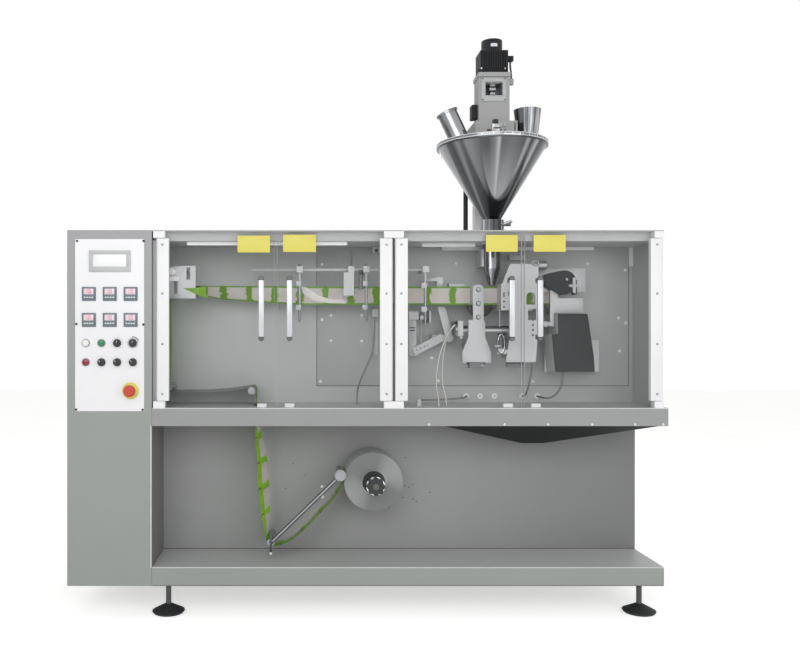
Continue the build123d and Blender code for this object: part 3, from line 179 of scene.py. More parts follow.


# Powder coat: an even warm grey skin with orange peel. Column, tray, wall and cover have their own
# tone of it, a painted light and shade, as the light falls on them.
powderGrey = grained("powderCoatedSteelGrey", "919692", "999E9A", 420, 1.6, (0.46, 0.56), 0.03)
# painted light: this grey lightens towards the top
shadeAlong(powderGrey, "Z", 0.75, 1.35, "A0A0A2")
# painted shade: a darker copy for the column's side face
powderSideShade = grained("powderCoatedSteelShade", "767777", "7E7F7F", 420, 1.6, (0.46, 0.56), 0.03)
powderTray = grained("powderCoatedSteelTray", "929593", "999C9A", 420, 1.6, (0.46, 0.56), 0.03)
powderCover = grained("powderCoatedSteelCover", "989999", "A1A2A2", 500, 1.6, (0.4, 0.5), 0.02)
# painted light and shade: the cover's grey lightens from left to right
shadeAlong(powderCover, "X", -0.15, 0.25, "ADAFAF")
powderGreyUpper = grained("powderCoatedSteelUpper", "ABADAD", "B4B6B6", 500, 1.6, (0.4, 0.5), 0.02)
dim, dull = {"Specular IOR Level": 0.3}, {"Specular IOR Level": 0.25}
powderDark = grained("powderCoatedSteelDark", "1C1E1E", "262828", 240, 1.6, (0.5, 0.62), 0.03, sockets=dim)
powderCounter = grained("powderCoatedSteelCounter", "919292", "999A9A", 420, 1.6, (0.46, 0.56), 0.03)
# painted shade: the wall under the counter is darker, and darker still towards the right
powderLowerShade = grained("powderCoatedSteelLowerShade", "8C8D8D", "959696", 300, 1.6, (0.42, 0.54), 0.02)
shadeAlong(powderLowerShade, "X", 0.35, 1.05, "777878")
# the tops of the tray and the counter take this pale grey as painted light
powderLight = grained("powderCoatedSteelLight", "B6B7B8", "C1C2C2", 400, 1.6, (0.4, 0.5), 0.02)
# Painted casting: a flat grey with a slight pebble
columnGrey = grained("paintedCastingGrey", "999A99", "A4A5A4", 90, 2.0, (0.45, 0.58), 0.05, sockets=dim)
# White enamel on aluminium: clean, with faint yellowing
enamelWhite = grained("enamelledAluminiumWhite", "E7E7E9", "F0F0F1", 160, 1.8, (0.36, 0.46), 0.02)
# Machined aluminium: light grey, clear cutter marks drawn out along X
machinedAluminium = grained(
    "machinedAluminium", "AEAFB1", "BFC0C1", 70, 1.2, (0.38, 0.5), 0.04, (0.2, 1, 1), 0.15,
)
# Ground and blackened steel: a fine grain along the rods
groundSteel = grained("groundSteel", "85878A", "A4A6A9", 50, 0.9, (0.24, 0.36), 0.04, (1, 1, 0.15), 0.7)
darkSteel = grained("blackenedSteel", "3E4042", "55575A", 50, 0.9, (0.22, 0.32), 0.03, (0.2, 1, 0.2), 0.5)
# Brushed stainless panel: grain lies level
brushedPanel = grained(
    "brushedStainlessPanel", "E3E3E5", "EAEAEC", 200, 0.8, (0.4, 0.52), 0.03, (0.05, 1, 1), 0.1,
)
# Polished stainless lid: clear reflections, slightly wavy sheet
polishedStainless = grained(
    "polishedStainless", "6C6E70", "94969A", 150, 30, (0.16, 0.24), 0.05, metallic=0.9,
)
# Chrome: mirror-bright on trim, satin on the handles, and dark at their tips with a painted reflection
chromePlate = grained("chromePlate", "D5D7DA", "ECEEF0", 60, 8, (0.05, 0.12), 0.02, metallic=1.0)
satinChrome = grained("satinChromePlate", "B4B6B9", "C6C8CB", 60, 2.0, (0.34, 0.44), 0.02, metallic=0.6)
# painted reflection: a dark chrome for the handle tips
tipChrome = grained("satinChromePlateDarkReflection", "4E5052", "626467", 20, 2.0, (0.3, 0.4), 0.03, metallic=0.5)
# Rubber and woven hose: dull black with an open grain, and a brown seal
blackRubber = grained("mouldedRubberBlack", "151617", "26282A", 60, 1.2, (0.6, 0.8), 0.2)
pipeBlack = grained("wovenHoseBlack", "161718", "232425", 30, 1.4, (0.6, 0.75), 0.15)
sealBrown = grained("extrudedSealBrown", "4A4038", "5A4E45", 40, 1.2, (0.6, 0.75), 0.05)
# Moulded plastics: a fine spark-eroded grain, half gloss
blackAbs = grained("mouldedAbsBlack", "121314", "202224", 60, 0.9, (0.34, 0.48), 0.12)
greyAbs = grained("mouldedAbsGrey", "5E6264", "74787A", 60, 0.9, (0.34, 0.48), 0.1)
ringGrey = grained("mouldedNylonGrey", "A4A6A7", "B6B8B9", 30, 0.9, (0.4, 0.5), 0.03)
redAbs = grained("mouldedAbsRed", "B8352A", "CC4334", 30, 0.9, (0.36, 0.48), 0.03)
oliveAbs = grained("mouldedAbsOlive", "4B4D45", "5E6057", 14, 0.9, (0.4, 0.5), 0.05)
slateAbs = grained("mouldedAbsSlate", "5F6A70", "77828A", 14, 0.9, (0.3, 0.42), 0.04)
# Coated sheet and enamelled casting: charcoal and black that give back little light
charcoalRubber = grained("coatedSheetCharcoal", "252627", "2F3031", 90, 2.0, (0.55, 0.68), 0.05, sockets=dull)
motorBlack = grained("enamelledCastingBlack", "111214", "1B1D1F", 50, 2.4, (0.5, 0.64), 0.08, sockets=dull)
# Lenses: glossy, deep in colour
redLens = grained("mouldedPolycarbonateRed", "7E0E22", "A3142C", 20, 1.0, (0.12, 0.2), 0.03)
greenLens = grained("mouldedPolycarbonateGreen", "1F6E48", "2C8A5C", 20, 1.0, (0.12, 0.2), 0.03)
whiteLens = grained("mouldedPolycarbonateWhite", "DADCD8", "F0F1EC", 20, 1.0, (0.15, 0.25), 0.03)
# Vinyl: flat printed yellow and a pale blank
yellowSheet = grained("printedVinylYellow", "D7CC58", "DFD564", 60, 1.0, (0.36, 0.5), 0.04)
paleCap = grained("printedVinylPale", "C9CDD2", "DDE0E4", 30, 1.0, (0.35, 0.5), 0.03)
# Display glass and its red strokes: smooth and glossy
screenGlass = grained("displayGlassPale", "EEF0F2", "F8F9F9", 60, 2.0, (0.1, 0.18), 0.01)
pinkGlass = grained("displayGlassRose", "DDB9CB", "F3E6EB", 14, 2.0, (0.1, 0.18), 0.01)
redGlow = grained("seededDisplayRed", "C2185A", "D8324F", 10, 1.0, (0.1, 0.2), 0.0)
# Acrylic door sheet: nearly all light passes, only its gloss and edges show
clearSheet = grained(
    "castAcrylicClear", "9DA3A4", "A8AEAF", 300, 60, (0.02, 0.04), 0.0, sockets={"Alpha": 0.03, "IOR": 1.49},
)
# Unprinted film: milky on its face, a soft grey on its reverse
whiteFilm = grained("polyethyleneFilmWhite", "C6C0BC", "E2DCD8", 20, 8, (0.25, 0.4), 0.1)
greyFilm = grained("polyethyleneFilmReverse", "7D8080", "B9BABA", 45, 6, (0.16, 0.3), 0.1)


# Polyurethane tube: painted shade darkens its wall along both rims, where it turns from view, and it
# stays light down the middle
def tubeMaterial(name, middle, rim):
    material = grained(name, middle, middle, 15, 2.0, (0.25, 0.36), 0.03)
    tree = material.node_tree
    facing = addNode(tree, "LayerWeight", {"Blend": 0.5}).outputs["Facing"]
    coatOver(tree, addNode(tree, "MapRange", span(0.12, 0.5), {"Value": facing}), rim)
    return material


clearHose = tubeMaterial("extrudedPolyurethaneClear", "D2CFCA", "6E6B67")
smokeHose = tubeMaterial("extrudedPolyurethaneSmoke", "8E8C88", "232322")

# Printed film: green borders along both edges and the fold, green bars across, milky windows
# between them and a register mark in each bar. u runs along the web and v across it, in metres.
filmLook = {
    "bright": "A6DA22", "dark": "76AC12", "brighter": "BCF01C", "deep": "7EB214", "window": "C3BBB6",
    "windowLight": "F0EBE7", "mark": "1C2412", "pitch": 0.0968, "bar": 0.026, "border": 0.0065,
    "width": 0.140, "ragged": 0.040, "tearScale": 60.0, "cloudScale": 22.0,
    "markPlace": 0.002, "markHalf": (0.002, 0.0024),
}


def filmMaterial(name, windowHex, inks=("dark", "bright"), glow=0.0):
    # glow is painted light: an emission that stands for the light that comes through a hanging web
    look = filmLook
    material, tree = newMaterial(name)
    place = addNode(tree, "UVMap", uv_map="filmPlace")
    split = addNode(tree, "SeparateXYZ", links={0: place})
    tears = addNode(
        tree, "TexNoise", {"Scale": look["tearScale"], "Detail": 3.0, "Roughness": 0.7}, {"Vector": place},
    )
    shifted = addNode(tree, "Math", {1: look["ragged"]}, {0: tears, 2: split}, operation="MULTIPLY_ADD")
    along = addNode(tree, "Math", {1: look["pitch"]}, {0: shifted}, operation="FLOORED_MODULO")
    bar = addNode(tree, "Math", {1: look["bar"]}, {0: along}, operation="LESS_THAN")
    half = look["width"] / 2
    fromMiddle = addNode(tree, "Math", {1: half}, {0: split.outputs["Y"]}, operation="SUBTRACT")
    off = addNode(tree, "Math", links={0: fromMiddle}, operation="ABSOLUTE")
    edge = addNode(tree, "Math", {1: half - look["border"]}, {0: off}, operation="GREATER_THAN")
    fold = addNode(tree, "Math", {1: look["border"]}, {0: off}, operation="LESS_THAN")
    either = addNode(tree, "Math", links={0: edge, 1: fold}, operation="MAXIMUM")
    printed = addNode(tree, "Math", links={0: either, 1: bar}, operation="MAXIMUM")
    cloud = addNode(tree, "TexNoise", {"Scale": look["cloudScale"], "Detail": 3.0}, {"Vector": place})
    ink, milky = [
        addNode(tree, "MixRGB", {"Color1": linear(low), "Color2": linear(high)}, {"Fac": cloud})
        for low, high in ((look[inks[0]], look[inks[1]]), (windowHex, look["windowLight"]))
    ]
    colour = addNode(tree, "MixRGB", links={"Fac": printed, "Color1": milky, "Color2": ink})
    # register marks by the edge, clear of the bars' ragged outline
    even = addNode(tree, "Math", {1: look["ragged"] / 2}, {0: split}, operation="ADD")
    evenAlong = addNode(tree, "Math", {1: look["pitch"]}, {0: even}, operation="FLOORED_MODULO")
    halfAlong, halfAcross = look["markHalf"]
    mark = addNode(tree, "Math", {1: look["bar"] / 2, 2: halfAlong}, {0: evenAlong}, operation="COMPARE")
    across = addNode(
        tree, "Math", {1: look["markPlace"], 2: halfAcross}, {0: split.outputs["Y"]}, operation="COMPARE",
    )
    marked = addNode(tree, "Math", links={0: mark, 1: across}, operation="MULTIPLY")
    withMark = addNode(tree, "MixRGB", {"Color2": linear(look["mark"])}, {"Fac": marked, "Color1": colour})
    relief = addNode(tree, "Bump", {"Strength": 0.25, "Distance": 0.002}, {"Height": cloud})
    shader = addNode(
        tree, "BsdfPrincipled", {"Roughness": 0.3, "IOR": 1.5, "Emission Strength": glow},
        {"Base Color": withMark, "Emission Color": withMark, "Normal": relief},
    )
    addNode(tree, "OutputMaterial", links={"Surface": shader})
    return material


def aroundAxis(tree, centre, first, second):
    # the angle and the distance about an axis, from two of the object coordinates
    split = objectSplit(tree)
    one, two = [
        addNode(tree, "Math", {1: middle}, {0: split.outputs[axis]}, operation="SUBTRACT")
        for middle, axis in zip(centre, (first, second))
    ]
    angle = addNode(tree, "Math", links={0: two, 1: one}, operation="ARCTAN2")
    square = addNode(tree, "Math", links={0: one, 1: one}, operation="MULTIPLY")
    both = addNode(tree, "Math", links={0: two, 1: two, 2: square}, operation="MULTIPLY_ADD")
    return angle, addNode(tree, "Math", links={0: both}, operation="SQRT")


# Polished sheet rolled round an upright axis: long light and dark streaks run down the sheet, a painted
# reflection of the room round it
def reflectionStreakedSteel(name, centre, seed):
    material = grained(name, "5A5C5E", "6E7073", 150, 30, (0.12, 0.2), 0.03, metallic=0.9)
    tree = material.node_tree
    angle, radius = aroundAxis(tree, centre, "X", "Y")
    height = objectSplit(tree).outputs["Z"]
    slow = addNode(tree, "Math", {1: 0.8, 2: seed}, {0: height}, operation="MULTIPLY_ADD")
    turned = addNode(tree, "CombineXYZ", links={"X": angle, "Y": slow})
    streaks = addNode(tree, "TexNoise", {"Scale": 3.2, "Detail": 2.5, "Roughness": 0.55}, {"Vector": turned})
    light, shade = span(0.52, 0.68, 0.0, 0.85), span(0.36, 0.48, 0.8, 0.0)
    for values, hexColour in ((light, "C9CBCD"), (shade, "333537")):
        coatOver(tree, addNode(tree, "MapRange", values, {"Value": streaks}), hexColour)
    return material


# Painted reflection of what the polished cone mirrors: stops of (place, colour) across the cone
# from its left rim to its right one, outside and inside a round arch that opens upward
coneLook = {
    "outside": (
        (0.0, "9A9C9E"), (0.07, "747678"), (0.105, "D2D4D6"), (0.14, "8A8C8E"), (0.27, "606264"),
        (0.34, "2C2E30"), (0.60, "2E3032"), (0.78, "444648"), (0.83, "ACAEB0"), (0.86, "4A4C4E"),
        (1.0, "7A7C7E"),
    ),
    "inside": (
        (0.0, "707274"), (0.36, "4C4E50"), (0.42, "6E7072"), (0.455, "A2A4A6"), (0.48, "5A5C5E"),
        (0.60, "646668"), (0.70, "56585A"), (0.73, "9A9C9E"), (0.77, "464849"), (1.0, "707274"),
    ),
    "archMiddle": 0.05, "archLow": 0.36, "archSpread": 2.9, "archEdge": 0.022, "share": 0.94,
    "glow": "A6A8AA",
}


def rampOf(tree, factor, stops):
    # a colour ramp from (place, colour) pairs
    ramp = addNode(tree, "ValToRGB", links={"Fac": factor})
    elements = ramp.color_ramp.elements
    while len(elements) < len(stops):
        elements.new(0.5)
    for element, (place, hexColour) in zip(elements, stops):
        element.position = place
        element.color = linear(hexColour)
    return ramp


def mirroredArch(material, centre, low, high):
    look, tree = coneLook, material.node_tree
    angle, radius = aroundAxis(tree, centre, "X", "Y")
    across = addNode(tree, "Math", links={0: angle}, operation="COSINE")
    half = addNode(tree, "Math", {1: 0.5, 2: 0.5}, {0: across}, operation="MULTIPLY_ADD")
    up = addNode(tree, "MapRange", span(low, high), {"Value": objectSplit(tree).outputs["Z"]})
    sideways = addNode(tree, "Math", links={0: across, 1: radius}, operation="MULTIPLY")
    scale = {1: 2 / (coneHigh.x - coneLow.x), 2: -look["archMiddle"]}
    off = addNode(tree, "Math", scale, {0: sideways}, operation="MULTIPLY_ADD")
    square = addNode(tree, "Math", links={0: off, 1: off}, operation="MULTIPLY")
    rise = {1: look["archSpread"], 2: look["archLow"]}
    arch = addNode(tree, "Math", rise, {0: square}, operation="MULTIPLY_ADD")
    above = addNode(tree, "Math", links={0: up, 1: arch}, operation="SUBTRACT")
    inside = addNode(tree, "MapRange", span(-0.01, look["archEdge"]), {"Value": above})
    # painted light: inside the arch the mirrored colour lightens towards the cone's foot
    foot = addNode(tree, "MapRange", span(0.9, 0.4, 0.0, 0.6), {"Value": up})
    lit = addNode(
        tree, "MixRGB", {"Color2": linear(look["glow"])},
        {"Fac": foot, "Color1": rampOf(tree, half, look["inside"])},
    )
    mirrored = addNode(
        tree, "MixRGB", links={"Fac": inside, "Color1": rampOf(tree, half, look["outside"]), "Color2": lit},
    )
    socket, plain = baseColour(tree)
    mixed = addNode(tree, "MixRGB", {"Fac": look["share"]}, {"Color1": plain, "Color2": mirrored})
    tree.links.new(mixed.outputs[0], socket)


hopperAxis = (hopperX, filmMiddleY)
hopperSteel = reflectionStreakedSteel("rolledStainlessHopper", hopperAxis, 0.3)
coneSteel = reflectionStreakedSteel("rolledStainlessCone", hopperAxis, 0.3)
mirroredArch(coneSteel, hopperAxis, coneLow.z, coneHigh.z)
inletSteel = reflectionStreakedSteel("rolledStainlessInlet", (hopperX + 0.130, filmMiddleY - 0.020), 2.1)
printedFilm = filmMaterial("printedPolyethyleneFilm", filmLook["window"])
# painted light: the folded band's film glows a little, and the hanging loop's film has a brighter ink and a
# painted glow, against the shade of the lower bay
paleFilm = filmMaterial("printedPolyethyleneFilmPale", "D6D0CB", ("dark", "deep"), 0.055)
loopFilm = filmMaterial("printedPolyethyleneFilmHanging", filmLook["window"], ("dark", "brighter"), 0.08)
print("materials made")


def smoothed(mesh, angle):
    # smooth shading that breaks at sharp edges
    for polygon in mesh.polygons:
        polygon.use_smooth = True
    mesh.set_sharp_from_angle(angle=math.radians(angle))


def linkPiece(name, data, body, replaced=()):
    # an object that rides on a body and stands for the CAD nodes named
    piece = bpy.data.objects.new(name, data)
    bpy.context.scene.collection.objects.link(piece)
    if body:
        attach(piece, body)
    for node in replaced:
        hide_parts(node)
    return piece


def finishPiece(name, bm, material, body, replaced=(), angle=32):
    # a bmesh becomes a smooth-shaded piece of one material
    bmesh.ops.recalc_face_normals(bm, faces=bm.faces)
    mesh = bpy.data.meshes.new(name)
    bm.to_mesh(mesh)
    bm.free()
    smoothed(mesh, angle)
    mesh.materials.append(material)
    return linkPiece(name, mesh, body, replaced)


def newPiece(name, material, shapes, body="root", replaced=()):
    # one piece of several shapes, each a function that fills a bmesh, and its values
    bm = bmesh.new()
    for fill, *values in shapes:
        fill(bm, *values)
    return finishPiece(name, bm, material, body, replaced)


def arcPoints(centre, radii, first, last, steps, whole=True):
    # points of an arc from one angle to another, in degrees; not whole leaves the last one out
    angles = [math.radians(first + (last - first) * step / steps) for step in range(steps + whole)]
    return [(centre[0] + radii[0] * math.cos(a), centre[1] + radii[1] * math.sin(a)) for a in angles]


def addStrip(bm, first, last):
    # the faces between two closed rings of as many points
    for i in range(len(first)):
        follow = (i + 1) % len(first)
        bm.faces.new((first[i], first[follow], last[follow], last[i]))


def bevelEdges(bm, edges, offset, segments=1):
    bmesh.ops.bevel(bm, geom=edges, offset=offset, segments=segments, affect="EDGES", profile=0.5)


def addBox(bm, low, high, edge=0.0008):
    # a box with rounded edges
    made = bmesh.ops.create_cube(bm, size=1.0)["verts"]
    middle = (Vector(low) + Vector(high)) / 2
    size = Vector(high) - Vector(low)
    for vert in made:
        vert.co = Vector([vert.co[i] * size[i] + middle[i] for i in range(3)])
    bevelEdges(bm, list({e for v in made for e in v.link_edges}), min(edge, min(size) * 0.45), 2)


def addTurned(bm, profile, place, axis, steps=32):
    # a closed or open profile of (radius, height) points turned about an axis through place
    turn = Vector((0, 0, 1)).rotation_difference(Vector(axis)).to_matrix()
    rings = []
    for radius, height in profile:
        around = arcPoints((0, 0), (radius, radius), 0, 360, steps, False) if radius >= 1e-6 else [(0, 0)]
        rings.append([bm.verts.new(Vector(place) + turn @ Vector((x, y, height))) for x, y in around])
    for first, last in zip(rings, rings[1:]):
        for step in range(steps):
            nextStep = (step + 1) % steps
            if len(first) == 1 and len(last) == 1:
                continue
            if len(first) == 1:
                bm.faces.new((first[0], last[step], last[nextStep]))
            elif len(last) == 1:
                bm.faces.new((first[step], first[nextStep], last[0]))
            else:
                bm.faces.new((first[step], first[nextStep], last[nextStep], last[step]))


def addRod(bm, start, end, radius, edge=0.0006, steps=20):
    # a round bar with chamfered ends
    start, end = Vector(start), Vector(end)
    length = (end - start).length
    edge = min(edge, radius * 0.4, length * 0.3)
    profile = [
        (0, 0), (radius - edge, 0), (radius, edge), (radius, length - edge), (radius - edge, length),
        (0, length),
    ]
    addTurned(bm, profile, start, (end - start).normalized(), steps)


def addTube(bm, points, radius, closed=False, steps=10):
    # a round wire that follows the points
    points = [Vector(p) for p in points]
    count = len(points)
    rings = []
    side = None
    for i, point in enumerate(points):
        before = points[i - 1] if i or closed else point
        after = points[(i + 1) % count] if i < count - 1 or closed else point
        along = (after - before).normalized()
        guess = side or (Vector((0, 1, 0)) if abs(along.y) < 0.9 else Vector((1, 0, 0)))
        side = (guess - along * guess.dot(along)).normalized()
        other = along.cross(side)
        around = arcPoints((0, 0), (radius, radius), 0, 360, steps, False)
        rings.append([bm.verts.new(point + a * side + b * other) for a, b in around])
    for first, last in list(zip(rings, rings[1:])) + ([(rings[-1], rings[0])] if closed else []):
        addStrip(bm, first, last)
    if not closed:
        bm.faces.new(list(reversed(rings[0])))
        bm.faces.new(rings[-1])


def addPlate(bm, outline, front, back, edge=0.0008):
    # a flat plate from an XZ outline, with chamfered rims
    lower = [bm.verts.new((x, front, z)) for x, z in outline]
    upper = [bm.verts.new((x, back, z)) for x, z in outline]
    faces = [bm.faces.new(lower), bm.faces.new(list(reversed(upper)))]
    addStrip(bm, upper, lower)
    bevelEdges(bm, [e for face in faces for e in face.edges], edge)


def addScrew(bm, place, radius, direction=(0, -1, 0)):
    # a domed socket-head screw
    sink = radius * 0.45
    profile = [
        (radius * 1.02, 0), (radius, radius * 0.5), (radius * 0.8, radius * 0.85),
        (sink, radius * 0.9), (sink, radius * 0.35), (0, radius * 0.35),
    ]
    addTurned(bm, profile, place, direction, 16)


forward, upward, inward = (0, -1, 0), (0, 0, 1), (0, 1, 0)


def dress(material, *nodes):
    # a CAD node whose shape is right keeps it and takes a material
    for node in nodes:
        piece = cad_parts[node]
        if not piece.material_slots:
            piece.data.materials.append(material)
        for place in piece.material_slots:
            place.material = material


def pieceName(node):
    return "".join([word.capitalize() if i else word for i, word in enumerate(node.split("_"))])


# A copy of a node with its edges broken by a small bevel. A zone is a material with its ranges in
# X, depth behind the front and Z, and takes the faces whose middle lies in it.
def bevelledCopy(node, material, edge, zones, cutAt):
    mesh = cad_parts[node].data.copy()
    mesh.materials.clear()
    bm = bmesh.new()
    bm.from_mesh(mesh)
    bmesh.ops.remove_doubles(bm, verts=bm.verts[:], dist=0.00002)
    bmesh.ops.dissolve_limit(bm, angle_limit=math.radians(1), verts=bm.verts[:], edges=bm.edges[:])
    sharp = [e for e in bm.edges if len(e.link_faces) == 2 and e.calc_face_angle(0.0) > math.radians(35)]
    bmesh.ops.bevel(bm, geom=sharp, offset=edge, segments=1, affect="EDGES", profile=0.5, clamp_overlap=True)
    bmesh.ops.triangulate(bm, faces=[f for f in bm.faces if len(f.verts) > 4])
    if cutAt:
        everything = bm.verts[:] + bm.edges[:] + bm.faces[:]
        bmesh.ops.bisect_plane(bm, geom=everything, plane_co=(0, 0, cutAt), plane_no=(0, 0, 1))
    for face in bm.faces:
        middle = face.calc_center_median()
        place = (middle.x, middle.y - frontY, middle.z)
        inside = [
            number for number, (coat, *ranges) in enumerate(zones)
            if all(low <= value <= high for value, (low, high) in zip(place, ranges))
        ]
        face.material_index = inside[0] + 1 if inside else 0
    bm.to_mesh(mesh)
    bm.free()
    for coat in [material] + [zone[0] for zone in zones]:
        mesh.materials.append(coat)
    smoothed(mesh, 32)
    return linkPiece(pieceName(node), mesh, "root", (node,))


everywhere = (-9.0, 9.0)
counterTop = counterHigh.z
wallShadeLine = counterTop - 0.03
chuteSide, chuteTop = (0.0915, 1), chuteHigh.z - 0.002
# Ranges in X and depth that several zones share
underSensor = (-0.026, -0.006), (0.10, 0.12)
guideRods = (-0.26, 0.24), (0.110, 0.122)
jawRod = (0.3695, 0.5438), (0.134, 0.146)
backPipe = (0.40, 0.50), (-0.035, -0.005)
window = (1.911, 1.967)
windowLeft, windowRight = hopperX - 0.0115, hopperX + 0.0115


def topOf(z):
    # the faces on top of a node, behind its front edge, where a painted light goes
    return everywhere, (0.002, 0.7), (z - 0.0012, z + 0.01)


copies = {
    "control_cabinet": (powderGrey, 0.0015, "light_paint", [
        # painted shade on the column's side face
        (powderSideShade, (columnX - 0.0006, columnX + 0.001), (0, 1), (0, 2)),
    ]),
    "base_tray": (powderTray, 0.0015, "light_paint", [
        # painted light on the tray's top
        (powderLight, *topOf(trayHigh.z)),
        (powderGrey, everywhere, (-0.001, 0.0012), (0, trayHigh.z - 0.0012)),  # as the column's front
    ]),
    # painted light on the counter's top
    "counter": (powderCounter, 0.0015, "light_paint", [(powderLight, *topOf(counterTop))]),
    "rear_access_panels": (powderGrey, 0.001, "light_paint", []),
    "roof_panel": (powderLight, 0.0015, "light_paint", [
        (powderGrey, everywhere, (0.0, 0.8), (roofHigh.z - 0.0012, roofHigh.z + 0.01)),
    ]),
    "cover_panel": (powderCover, 0.0008, "light_paint", []),
    "side_wall": (powderGreyUpper, 0.0008, "light_paint", []),
    "back_wall": (powderGreyUpper, 0.0006, "light_paint", [
        # painted shade on the wall under the counter
        (powderLowerShade, everywhere, everywhere, (-9.0, wallShadeLine)),
    ]),
    "levelling_feet": (blackRubber, 0.0006, "black_rubber", [
        (darkSteel, everywhere, everywhere, (0.048, 0.2)),
    ]),
    "collecting_pan": (powderDark, 0.0008, "black_paint", []),
    "door_fittings": (enamelWhite, 0.0008, "white_aluminium", []),
    "roof_fittings": (enamelWhite, 0.0008, "white_aluminium", [
        (pipeBlack, (0.400, 0.425), (0.28, 0.32), (1.396, 1.70)),
        (ringGrey, (0.030, 0.070), (0.21, 0.245), (1.30, 1.36)),
    ]),
    "guide_plate": (machinedAluminium, 0.0006, "brushed_steel", [
        (enamelWhite, (-0.735, -0.690), (0.070, 0.0839), (1.20, 1.27)),
    ]),
    "guide_rods": (machinedAluminium, 0.0006, "brushed_steel", [
        (groundSteel, *guideRods, (1.05, 1.20)), (groundSteel, *guideRods, (1.276, 1.34)),
    ]),
    "photo_sensor": (machinedAluminium, 0.0005, "brushed_steel", [
        (blackAbs, *underSensor, (1.2395, 1.262)), (greyAbs, *underSensor, (1.10, 1.2395)),
    ]),
    "crank_linkage": (machinedAluminium, 0.0007, "brushed_steel", []),
    "sealing_jaw": (machinedAluminium, 0.0008, "brushed_steel", [
        (blackAbs, (0.390, 0.495), (0.1715, 0.2575), (1.080, 1.184)),
        (blackRubber, (0.320, 0.3497), (0.130, 0.170), (1.036, 1.080)),
        (darkSteel, *jawRod, (1.041, 1.053)), (enamelWhite, *jawRod, (1.028, 1.041)),
        (greyAbs, everywhere, everywhere, (-9.0, 0.9125)),
    ]),
    "sealing_unit": (machinedAluminium, 0.0007, "brushed_steel", [
        (blackAbs, (0.490, 0.522), (0.095, 0.1045), (0.9665, 1.03)),
        (blackAbs, (0.625, 0.650), (0.1305, 0.150), (0.995, 1.025)),
        (greyAbs, everywhere, everywhere, (-9.0, 0.9125)),
    ]),
    "cutter_bracket": (machinedAluminium, 0.0008, "brushed_steel", [
        (ringGrey, (0.660, 0.686), (0.105, 0.1199), (1.040, 1.075)),
        (blackAbs, (0.780, 0.796), (0.1195, 0.1495), (1.165, 1.225)),
    ]),
    "discharge_chute": (charcoalRubber, 0.001, "black_paint", [
        (powderLight, (chuteLow.x - 0.001, chuteLow.x + 0.015), chuteSide, (0, chuteTop)),
        (powderLight, (chuteLow.x, chuteLow.x + 0.034), chuteSide, (chuteHigh.z - 0.081, chuteTop)),
    ]),
    "drive_column": (columnGrey, 0.0012, "light_paint", [
        (greyAbs, (hopperX - 0.0321, windowLeft), (0.1315, 0.192), window),
        (greyAbs, (windowRight, hopperX + 0.0321), (0.1315, 0.192), window),
        (greyAbs, (windowLeft, windowRight), (0.1815, 0.192), window),
        (blackAbs, (windowLeft, windowRight), (0.150, 0.1815), window),
        (blackAbs, *backPipe, (1.7702, 1.80)), (groundSteel, *backPipe, (1.740, 1.7702)),
    ]),
    "auger_motor": (motorBlack, 0.0015, "black_paint", []),
    "stop_button_base": (yellowSheet, 0.0004, "black_plastic", []),
}
for node, (material, edge, slotName, zones) in copies.items():
    bevelledCopy(node, material, edge, zones, wallShadeLine if node == "back_wall" else None)
print("node copies made")

dress(powderGrey, "rear_cabinet")
dress(brushedPanel, "control_panel")
dress(blackAbs, "panel_instruments", "panel_switches")
dress(redAbs, "stop_button_head")
dress(groundSteel, "roller_shafts", "dancer_roller", "idler_roller_a", "idler_roller_b", "idler_roller_c")
dress(hopperSteel, "filling_nozzle")
dress(coneSteel, "hopper_cone")
dress(inletSteel, "hopper_inlets")
dress(polishedStainless, "hopper_lid")
dress(motorBlack, "reel_hub")
dress(machinedAluminium, "grommets")
dress(clearSheet, "door_1_glass", "door_2_glass", "door_3_glass", "door_4_glass")
print("frame dressed")

# Cords: each repeats its route from the part, in metres, as one smooth NURBS line
cordSteps = 6
cordRoutes = {
    "jaw_hose_front": (0.006, clearHose, 0.322, [
        (0.342, 0.140, 1.056), (0.317, 0.140, 1.031), (0.298, 0.137, 0.988), (0.278, 0.128, 0.934),
        (0.268, 0.116, 0.880), (0.262, 0.100, 0.826), (0.270, 0.084, 0.784), (0.270, 0.084, 0.754),
    ]),
    "jaw_hose_rear": (0.006, clearHose, 0.318, [
        (0.342, 0.158, 1.056), (0.319, 0.158, 1.033), (0.307, 0.154, 0.988), (0.296, 0.144, 0.936),
        (0.290, 0.130, 0.884), (0.288, 0.114, 0.832), (0.300, 0.096, 0.786), (0.300, 0.096, 0.754),
    ]),
    "counter_hose": (0.006, smokeHose, 0.288, [
        (0.406, 0.256, 0.778), (0.406, 0.220, 0.778), (0.380, 0.196, 0.775), (0.334, 0.187, 0.772),
        (0.286, 0.179, 0.770), (0.236, 0.168, 0.770), (0.199, 0.144, 0.770), (0.199, 0.106, 0.770),
    ]),
    "seal_hose": (0.006, smokeHose, 0.273, [
        (0.625, 0.256, 0.778), (0.625, 0.218, 0.778), (0.628, 0.190, 0.806), (0.633, 0.172, 0.852),
        (0.637, 0.156, 0.902), (0.638, 0.140, 0.952), (0.638, 0.140, 1.000),
    ]),
    "chute_hose": (0.007, smokeHose, 0.198, [
        (0.684, 0.256, 0.778), (0.684, 0.222, 0.778), (0.704, 0.196, 0.772), (0.730, 0.174, 0.786),
        (0.748, 0.158, 0.822), (0.750, 0.150, 0.852), (0.750, 0.150, 0.880),
    ]),
    "wall_hose": (0.006, smokeHose, 0.364, [
        (0.047, 0.236, 1.087), (0.047, 0.236, 1.040), (0.045, 0.234, 0.988), (0.034, 0.228, 0.938),
        (0.012, 0.216, 0.890), (-0.010, 0.198, 0.848), (-0.024, 0.172, 0.812), (-0.028, 0.146, 0.782),
        (-0.028, 0.146, 0.754),
    ]),
    "motor_cable": (0.007, blackRubber, 0.066, [
        (0.551, 0.150, 2.050), (0.551, 0.150, 2.029), (0.555, 0.150, 2.006), (0.555, 0.150, 1.984),
    ]),
}
